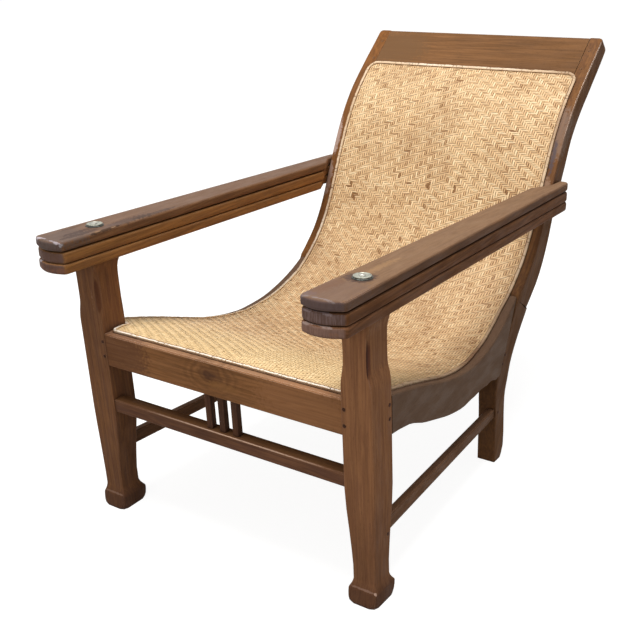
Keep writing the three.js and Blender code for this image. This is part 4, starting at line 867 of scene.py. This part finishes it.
def weave_side(side, seed):
    """Points, strand coordinates and shades of the floats of one side, warps first."""
    generator = np.random.default_rng(seed)
    warps, wefts, warp_up = float_places(side)
    warp_shade = strand_shades(generator, len(warps), WARP_SPREAD)
    weft_shade = strand_shades(generator, len(wefts), WEFT_SPREAD)
    points, strands, shades = [], [], []
    for along_panel in (True, False):
        mask = warp_up if along_panel else ~warp_up.T
        line, start, end = runs_of(mask)
        middle = (start + end - 1) / 2
        length = (end - start).astype(float)
        if along_panel:
            run_middle = DIAMOND_RUN + (wefts[0] + middle) * WEFT_PITCH
            across_middle = DIAMOND_ACROSS + warps[line] * WARP_PITCH
            half_length = length * WEFT_PITCH / 2 + WEFT_PITCH * WARP_TUCK
            half_width = WARP_PITCH * WARP_COVER
            shade = warp_shade[line]
        else:
            run_middle = DIAMOND_RUN + wefts[line] * WEFT_PITCH
            across_middle = DIAMOND_ACROSS + (warps[0] + middle) * WARP_PITCH
            half_length = length * WARP_PITCH / 2 + WARP_PITCH * WEFT_TUCK
            half_width = WEFT_PITCH * WEFT_COVER
            # Painted light: weft floats are lifted in tone, as they catch less light than the warps.
            shade = weft_shade[line] + WEFT_PAINTED_LIGHT
        inside = np.abs(across_middle) < edge_half(run_middle) - EDGE_MARGIN
        inside &= (run_middle > PANEL_START + EDGE_MARGIN) & (run_middle < PANEL_END - EDGE_MARGIN)
        run_middle, across_middle, half_length, shade = (
            values[inside] for values in (run_middle, across_middle, half_length, shade))
        count = len(run_middle)
        shade = shade + WEAVE_LIGHT + generator.normal(0, FLOAT_SPREAD, count)
        shade = np.where(generator.random(count) < DARK_SHARE, shade - DARK_SHADE, shade)
        crown = CROWN * generator.uniform(*CROWN_SPREAD, count)
        yaw = generator.normal(0, YAW_SPREAD, count)
        for across_broken, run_broken, radius in BROKEN:
            near = np.hypot(across_middle - across_broken, run_middle - run_broken) < radius
            shade = np.where(near, BROKEN_SHADE, shade)
            crown = np.where(near, crown * BROKEN_CROWN, crown)
        along, across = np.meshgrid(ALONG_STEPS, ACROSS_STEPS, indexing="ij")
        long_way = along[None] * half_length[:, None, None]
        own_width = generator.uniform(*WIDTH_SPREAD, count)[:, None, None]
        wide_way = across[None] * half_width * own_width + long_way * yaw[:, None, None]
        bend = 1 - END_DROP * np.abs(along[None]) ** END_BEND
        lift = crown[:, None, None] * bend - EDGE_DROP * across[None] ** 2
        run = run_middle[:, None, None] + (long_way if along_panel else wide_way)
        sideways = across_middle[:, None, None] + (wide_way if along_panel else long_way)
        run = np.clip(run, PANEL_START + EDGE_MARGIN, PANEL_END - EDGE_MARGIN)
        limit = np.maximum(edge_half(run) - EDGE_MARGIN, 0.01)
        sideways = np.clip(sideways, -limit, limit)
        lift = MID_LIFT + side * np.maximum(lift, FACE_LIFT)
        points.append(sheet_points(run, sideways, lift).reshape(-1, 3))
        own = generator.uniform(0, 20, count)[:, None, None]
        strands.append(np.stack(np.broadcast_arrays(long_way + own, wide_way, own), axis=-1).reshape(-1, 3))
        # Painted shade at the sides and ends of each float, and a painted highlight along its middle.
        shadow = SIDE_SHADOW * across[None] ** 2 + END_SHADOW * np.abs(along[None]) ** 4 - SHADOW_MIDDLE
        shades.append((shade[:, None, None] - shadow).ravel())
    return points, strands, shades


def make_weave(name, side, seed):
    """All the floats that show on one side of the panel."""
    (warp_points, weft_points), strands, shades = weave_side(side, seed)
    rows, columns = len(ALONG_STEPS), len(ACROSS_STEPS)
    warp_faces = grid_faces(len(warp_points) // (rows * columns), rows, columns, turned=side > 0)
    weft_faces = grid_faces(len(weft_points) // (rows * columns), rows, columns, turned=side < 0)
    faces = np.vstack([warp_faces, weft_faces + len(warp_points)])
    return piece_from(name, np.vstack([warp_points, weft_points]), faces, CANE_STRAND, {
        "strand": ("FLOAT_VECTOR", np.vstack(strands)), "shade": ("FLOAT", np.concatenate(shades)),
    })


def make_shade_sheet():
    """Painted shade: a thin dark sheet between the floats of the two sides, seen as the dark of the weave."""
    runs = np.linspace(PANEL_START + SHADE_SHEET_MARGIN, PANEL_END - SHADE_SHEET_MARGIN, SHADE_SHEET_ROWS)
    columns = np.linspace(-1, 1, SHADE_SHEET_COLUMNS)
    run, share = np.meshgrid(runs, columns, indexing="ij")
    across = share * (edge_half(run) - SHADE_SHEET_MARGIN)
    top = sheet_points(run, across, MID_LIFT + FACE_LIFT)
    under = sheet_points(run, across, MID_LIFT - FACE_LIFT)
    rows, width = run.shape
    faces = np.vstack([grid_faces(1, rows, width), grid_faces(1, rows, width, turned=True) + rows * width])
    rim = list(range(width)) + [row * width + width - 1 for row in range(1, rows)]
    rim += [(rows - 1) * width + index for index in range(width - 2, -1, -1)]
    rim += [row * width for row in range(rows - 2, 0, -1)]
    rim = np.array(rim)
    ahead = np.roll(rim, -1)
    walls = np.stack([rim, ahead, ahead + rows * width, rim + rows * width], axis=-1)
    points = np.vstack([top.reshape(-1, 3), under.reshape(-1, 3)])
    place = np.stack([run, across, run * 0], axis=-1).reshape(-1, 3)
    return piece_from("cane_shade_sheet", points, np.vstack([faces, walls]), CANE_SHADE_SHEET, {
        "strand": ("FLOAT_VECTOR", np.vstack([place, place])),
        "shade": ("FLOAT", np.full(len(points), SHADE_SHEET_TONE)),
    })


weave_top = make_weave("cane_weave_top", 1, WEAVE_SEED)
weave_under = make_weave("cane_weave_under", -1, UNDER_SEED)
shade_sheet = make_shade_sheet()
for piece in (weave_top, weave_under, shade_sheet):
    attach(piece, "chair_frame")
    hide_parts("cane_panel")

# Edging strip

BEAD_INSET, PATH_STEP = 0.0042, 0.004
BEAD_LIFT = PANEL_REST * 2 + PANEL_THICKNESS
ARC_POINTS, RAMP_POINTS, SIDE_POINTS = 6, 6, 49
STRIP_LOW, STRIP_HIGH = -0.0002, 0.0044
TIE_LOW, TIE_HIGH, TIE_PITCH, TIE_REACH = 0.0030, 0.0047, 0.008, 1.02
TIES_KEPT = 0.55
CORD_INSET, CORD_SIZE, CORD_SINK = 0.0041, 0.0012, 0.0006
SIDE_WIDTH, FRONT_WIDTH, BACK_WIDTH = 0.0084, 0.0046, 0.0062
BACK_FROM, BACK_FADE = 0.60, 0.10


def bead_path():
    """Run and distance from the middle along the panel's edge, closed."""
    arc = np.linspace(0, math.pi / 2, ARC_POINTS)
    front_radius = PANEL_FRONT_CORNER - BEAD_INSET
    top_radius = PANEL_CORNER - BEAD_INSET
    start, end = PANEL_START + BEAD_INSET, PANEL_END - BEAD_INSET
    front_half = LEG_INNER - LEG_GAP - BEAD_INSET
    side = [
        (start + front_radius * (1 - math.cos(turn)), front_half - front_radius * (1 - math.sin(turn)))
        for turn in arc
    ]
    notch = run_at(NOTCH_REACH)
    side.append((notch - 0.002, front_half))
    for past in np.linspace(0.002, NOTCH_RAMP, RAMP_POINTS):
        reach = NOTCH_REACH + past
        side.append((run_at(reach) + BEAD_INSET * 0.6, float(panel_half(reach)) - BEAD_INSET))
    for run in np.linspace(run_at(NOTCH_REACH + NOTCH_RAMP) + 0.012, end - top_radius, SIDE_POINTS):
        side.append((run, float(panel_half(reach_at(run))) - BEAD_INSET))
    top_half = side[-1][1]
    side += [
        (end - top_radius + top_radius * math.sin(turn), top_half - top_radius * (1 - math.cos(turn)))
        for turn in arc[1:]
    ]
    return np.array(side + [(run, -across) for run, across in reversed(side)])


def even_path(path, step):
    """The same closed path with points at even distances."""
    closed = np.vstack([path, path[:1]])
    gone = np.concatenate([[0], np.cumsum(np.hypot(*np.diff(closed, axis=0).T))])
    count = int(gone[-1] / step)
    at = np.linspace(0, gone[-1], count, endpoint=False)
    return np.stack([np.interp(at, gone, closed[:, 0]), np.interp(at, gone, closed[:, 1])], axis=-1), at


def path_ways(path):
    """At each point of a closed path, the way along it and the way inwards."""
    along = np.roll(path, -1, axis=0) - np.roll(path, 1, axis=0)
    along /= np.linalg.norm(along, axis=1)[:, None]
    inward = np.stack([along[:, 1], -along[:, 0]], axis=-1)
    if np.mean(inward[:, 1] * path[:, 1]) > 0:
        inward = -inward
    return along, inward


def strip_along(name, path, at, inset, width, height, lift, material, shade, foot_shade, rough=0.0):
    """A half-round strip that follows a closed path, moved inwards from it.

    The shade is given at each point of the path, and the foot shade is the painted shade it loses towards the
    strip's foot.
    """
    _, inward = path_ways(path)
    centre = path + inward * inset
    section = np.array([(-0.5, 0), (-0.5, 0.78), (-0.4, 0.96), (0, 1), (0.36, 0.95), (0.5, 0.86), (0.5, 0)])
    ragged = np.random.default_rng(len(at)).normal(0, 1, len(at))
    wobble = 1 + 0.05 * np.sin(at * 190) + 0.04 * np.sin(at * 77 + 1) + rough * ragged
    offset = section[None, :, 0] * (width * wobble)[:, None]
    run = centre[:, 0:1] + inward[:, 0:1] * offset
    across = centre[:, 1:2] + inward[:, 1:2] * offset
    high = lift + section[None, :, 1] * (height * wobble)[:, None]
    points = sheet_points(run, across, high)
    count, width_count = run.shape
    corner = np.arange(count * width_count).reshape(count, width_count)
    following = np.roll(corner, -1, axis=0)
    corners = [corner[:, :-1], corner[:, 1:], following[:, 1:], following[:, :-1]]
    faces = np.stack(corners, axis=-1).reshape(-1, 4)
    under = np.stack([corner[:, -1], corner[:, 0], following[:, 0], following[:, -1]], axis=-1)
    strand = np.stack(np.broadcast_arrays(at[:, None], offset, at[:, None] * 0), axis=-1).reshape(-1, 3)
    shades = (shade[:, None] - foot_shade[:, None] * (1 - section[None, :, 1])).ravel()
    piece = piece_from(name, points.reshape(-1, 3), np.vstack([faces, under]), material, {
        "strand": ("FLOAT_VECTOR", strand), "shade": ("FLOAT", shades),
    })
    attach(piece, "chair_frame")
    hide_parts("cane_bead")


def round_back(path):
    """One along the back of the panel, nothing along the seat."""
    return np.clip((path[:, 0] - run_at(BACK_FROM)) / BACK_FADE, 0, 1)


def edge_shade(path, at):
    """Shade of the strip: it drifts along its length, and is darker round the back and, with painted shade
    beneath the arm, on the left.
    """
    shade = 0.74 + 0.14 * np.sin(at * 9.1) + 0.10 * np.sin(at * 31 + 2) - 0.1 * round_back(path)
    # Painted shade beneath the arm, along the left side of the seat.
    arm_shade_share = np.clip((path[:, 1] - 0.2) / 0.05, 0, 1)
    return shade - (0.42 - 0.22 * round_back(path)) * arm_shade_share


def strip_width(path):
    """Broad along the sides of the seat, narrow at the front, middling round the back."""
    run, across = path[:, 0], np.abs(path[:, 1])
    broad = (across > 0.29) & (run < run_at(RAIL_MEET))
    narrow = run < PANEL_START + PANEL_FRONT_CORNER
    width = np.where(broad, SIDE_WIDTH, np.where(narrow, FRONT_WIDTH, BACK_WIDTH))
    smooth = np.ones(9) / 9
    return np.convolve(np.concatenate([width[-4:], width, width[:4]]), smooth, mode="valid")


def make_ties(name, path, at, pitch, width, seed):
    """Short wraps of split cane over the strip, each a little out of true."""
    generator = np.random.default_rng(seed)
    along, inward = path_ways(path)
    step = max(1, round(pitch / (at[1] - at[0])))
    chosen = np.arange(0, len(path) - 1, step)
    chosen = chosen[generator.random(len(chosen)) < TIES_KEPT]
    count = len(chosen)
    centre, ahead_way, inner_way = (ways[chosen][:, :, None, None] for ways in (path, along, inward))
    reach = np.array([-0.55, -0.5, -0.25, 0.15, 0.5, 0.62])
    rise = np.array([0.0, 0.8, 1.0, 1.0, 0.78, 0.0])
    half = generator.uniform(0.0005, 0.0009, count)
    slant = generator.normal(0.12, 0.12, count)
    sides = np.array([-1.0, 1.0])
    own_width = generator.uniform(0.9, 1.12, count)[:, None, None]
    out = reach[None, :, None] * width[chosen][:, None, None] * own_width
    forward = sides[None, None, :] * half[:, None, None] + out * slant[:, None, None]
    out, forward = np.broadcast_arrays(out, forward)
    run = centre[:, 0] + inner_way[:, 0] * out + ahead_way[:, 0] * forward
    across = centre[:, 1] + inner_way[:, 1] * out + ahead_way[:, 1] * forward
    own_height = generator.uniform(0.9, 1.05, count)[:, None, None]
    high = TIE_LOW + rise[None, :, None] * (TIE_HIGH - TIE_LOW) * own_height
    points = sheet_points(run, across, high).reshape(-1, 3)
    shades = np.broadcast_to(generator.uniform(0.1, 1.0, count)[:, None, None], out.shape).ravel()
    strand = np.stack(np.broadcast_arrays(out, forward, out * 0), axis=-1).reshape(-1, 3)
    piece = piece_from(name, points, grid_faces(count, len(reach), len(sides)), CANE_TIE, {
        "strand": ("FLOAT_VECTOR", strand), "shade": ("FLOAT", shades),
    })
    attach(piece, "chair_frame")
    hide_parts("cane_bead")


def make_edging():
    """The pale strip round the panel, the fine cord inside it, and the wraps that tie it down."""
    path, at = even_path(bead_path(), PATH_STEP)
    width, back = strip_width(path), round_back(path)
    # Painted shade at the strip's foot, deepest round the back.
    strip_along("cane_edge_strip", path, at, 0.0, width, STRIP_HIGH - STRIP_LOW, STRIP_LOW, CANE_EDGE,
                edge_shade(path, at), foot_shade=0.15 + 0.9 * back, rough=0.05)
    strip_along("cane_edge_cord", path, at, CORD_INSET, CORD_SIZE, CORD_SIZE, BEAD_LIFT - CORD_SINK,
                CANE_CORD, 1.0 - 0.55 * back + 0.15 * np.sin(at * 57), foot_shade=np.zeros(len(path)))
    make_ties("cane_edge_ties", path, at, TIE_PITCH, width * TIE_REACH, TIE_SEED)


make_edging()

# Floor and light

FLOOR_HALF, FLOOR_GLOW, WORLD_LIGHT = 60.0, 0.90, 0.33
LAMPS = (
    ("key", (0.2, -0.6, 4.4), (0, -0.1, 0.45), 2.4, 186),
    ("fill", (-3.2, -1.6, 2.4), (0, 0, 0.45), 2.8, 8),
    ("front", (0.5, -3.6, 1.3), (0.1, -0.2, 0.35), 2.0, 22),
)


def seen_share(board):
    """One for the camera's own rays and for mirrored or transmitted ones, nothing for the rest."""
    rays = board.add("ShaderNodeLightPath").outputs
    mirrored = board.maths("MAXIMUM", rays["Is Glossy Ray"], rays["Is Transmission Ray"])
    return board.maths("MAXIMUM", rays["Is Camera Ray"], mirrored)


def make_floor():
    points = [(-FLOOR_HALF, -FLOOR_HALF, 0), (FLOOR_HALF, -FLOOR_HALF, 0), (FLOOR_HALF, FLOOR_HALF, 0),
              (-FLOOR_HALF, FLOOR_HALF, 0)]
    material, board, shader = new_material("pale_floor")
    shader.inputs["Base Color"].default_value = tone("8e8d8b")
    shader.inputs["Roughness"].default_value = 0.9
    shader.inputs["Specular IOR Level"].default_value = 0.1
    shader.inputs["Emission Color"].default_value = (1, 1, 1, 1)
    seen = seen_share(board)
    board.feed(shader.inputs["Emission Strength"], board.maths("MULTIPLY", seen, FLOOR_GLOW))
    floor = piece_from("pale_floor", points, [(0, 1, 2, 3)], material, smooth=False)


def add_lamp(name, place, target, size, watts):
    lamp = bpy.data.lights.new(name, "AREA")
    lamp.shape = "DISK"
    lamp.size = size
    lamp.energy = watts
    holder = bpy.data.objects.new(name, lamp)
    holder.location = place
    holder.rotation_euler = (Vector(target) - Vector(place)).to_track_quat("-Z", "Y").to_euler()
    bpy.context.scene.collection.objects.link(holder)


def light_world(strength):
    world = bpy.data.worlds.new("studio")
    world.use_nodes = True
    board = Board(world.node_tree)
    ground = world.node_tree.nodes["Background"]
    ground.inputs["Color"].default_value = (1, 1, 1, 1)
    seen = seen_share(board)
    extra = board.maths("MULTIPLY", seen, 1 - strength)
    board.feed(ground.inputs["Strength"], board.maths("ADD", extra, strength))
    bpy.context.scene.world = world


make_floor()
for lamp_row in LAMPS:
    add_lamp(*lamp_row)
light_world(WORLD_LIGHT)
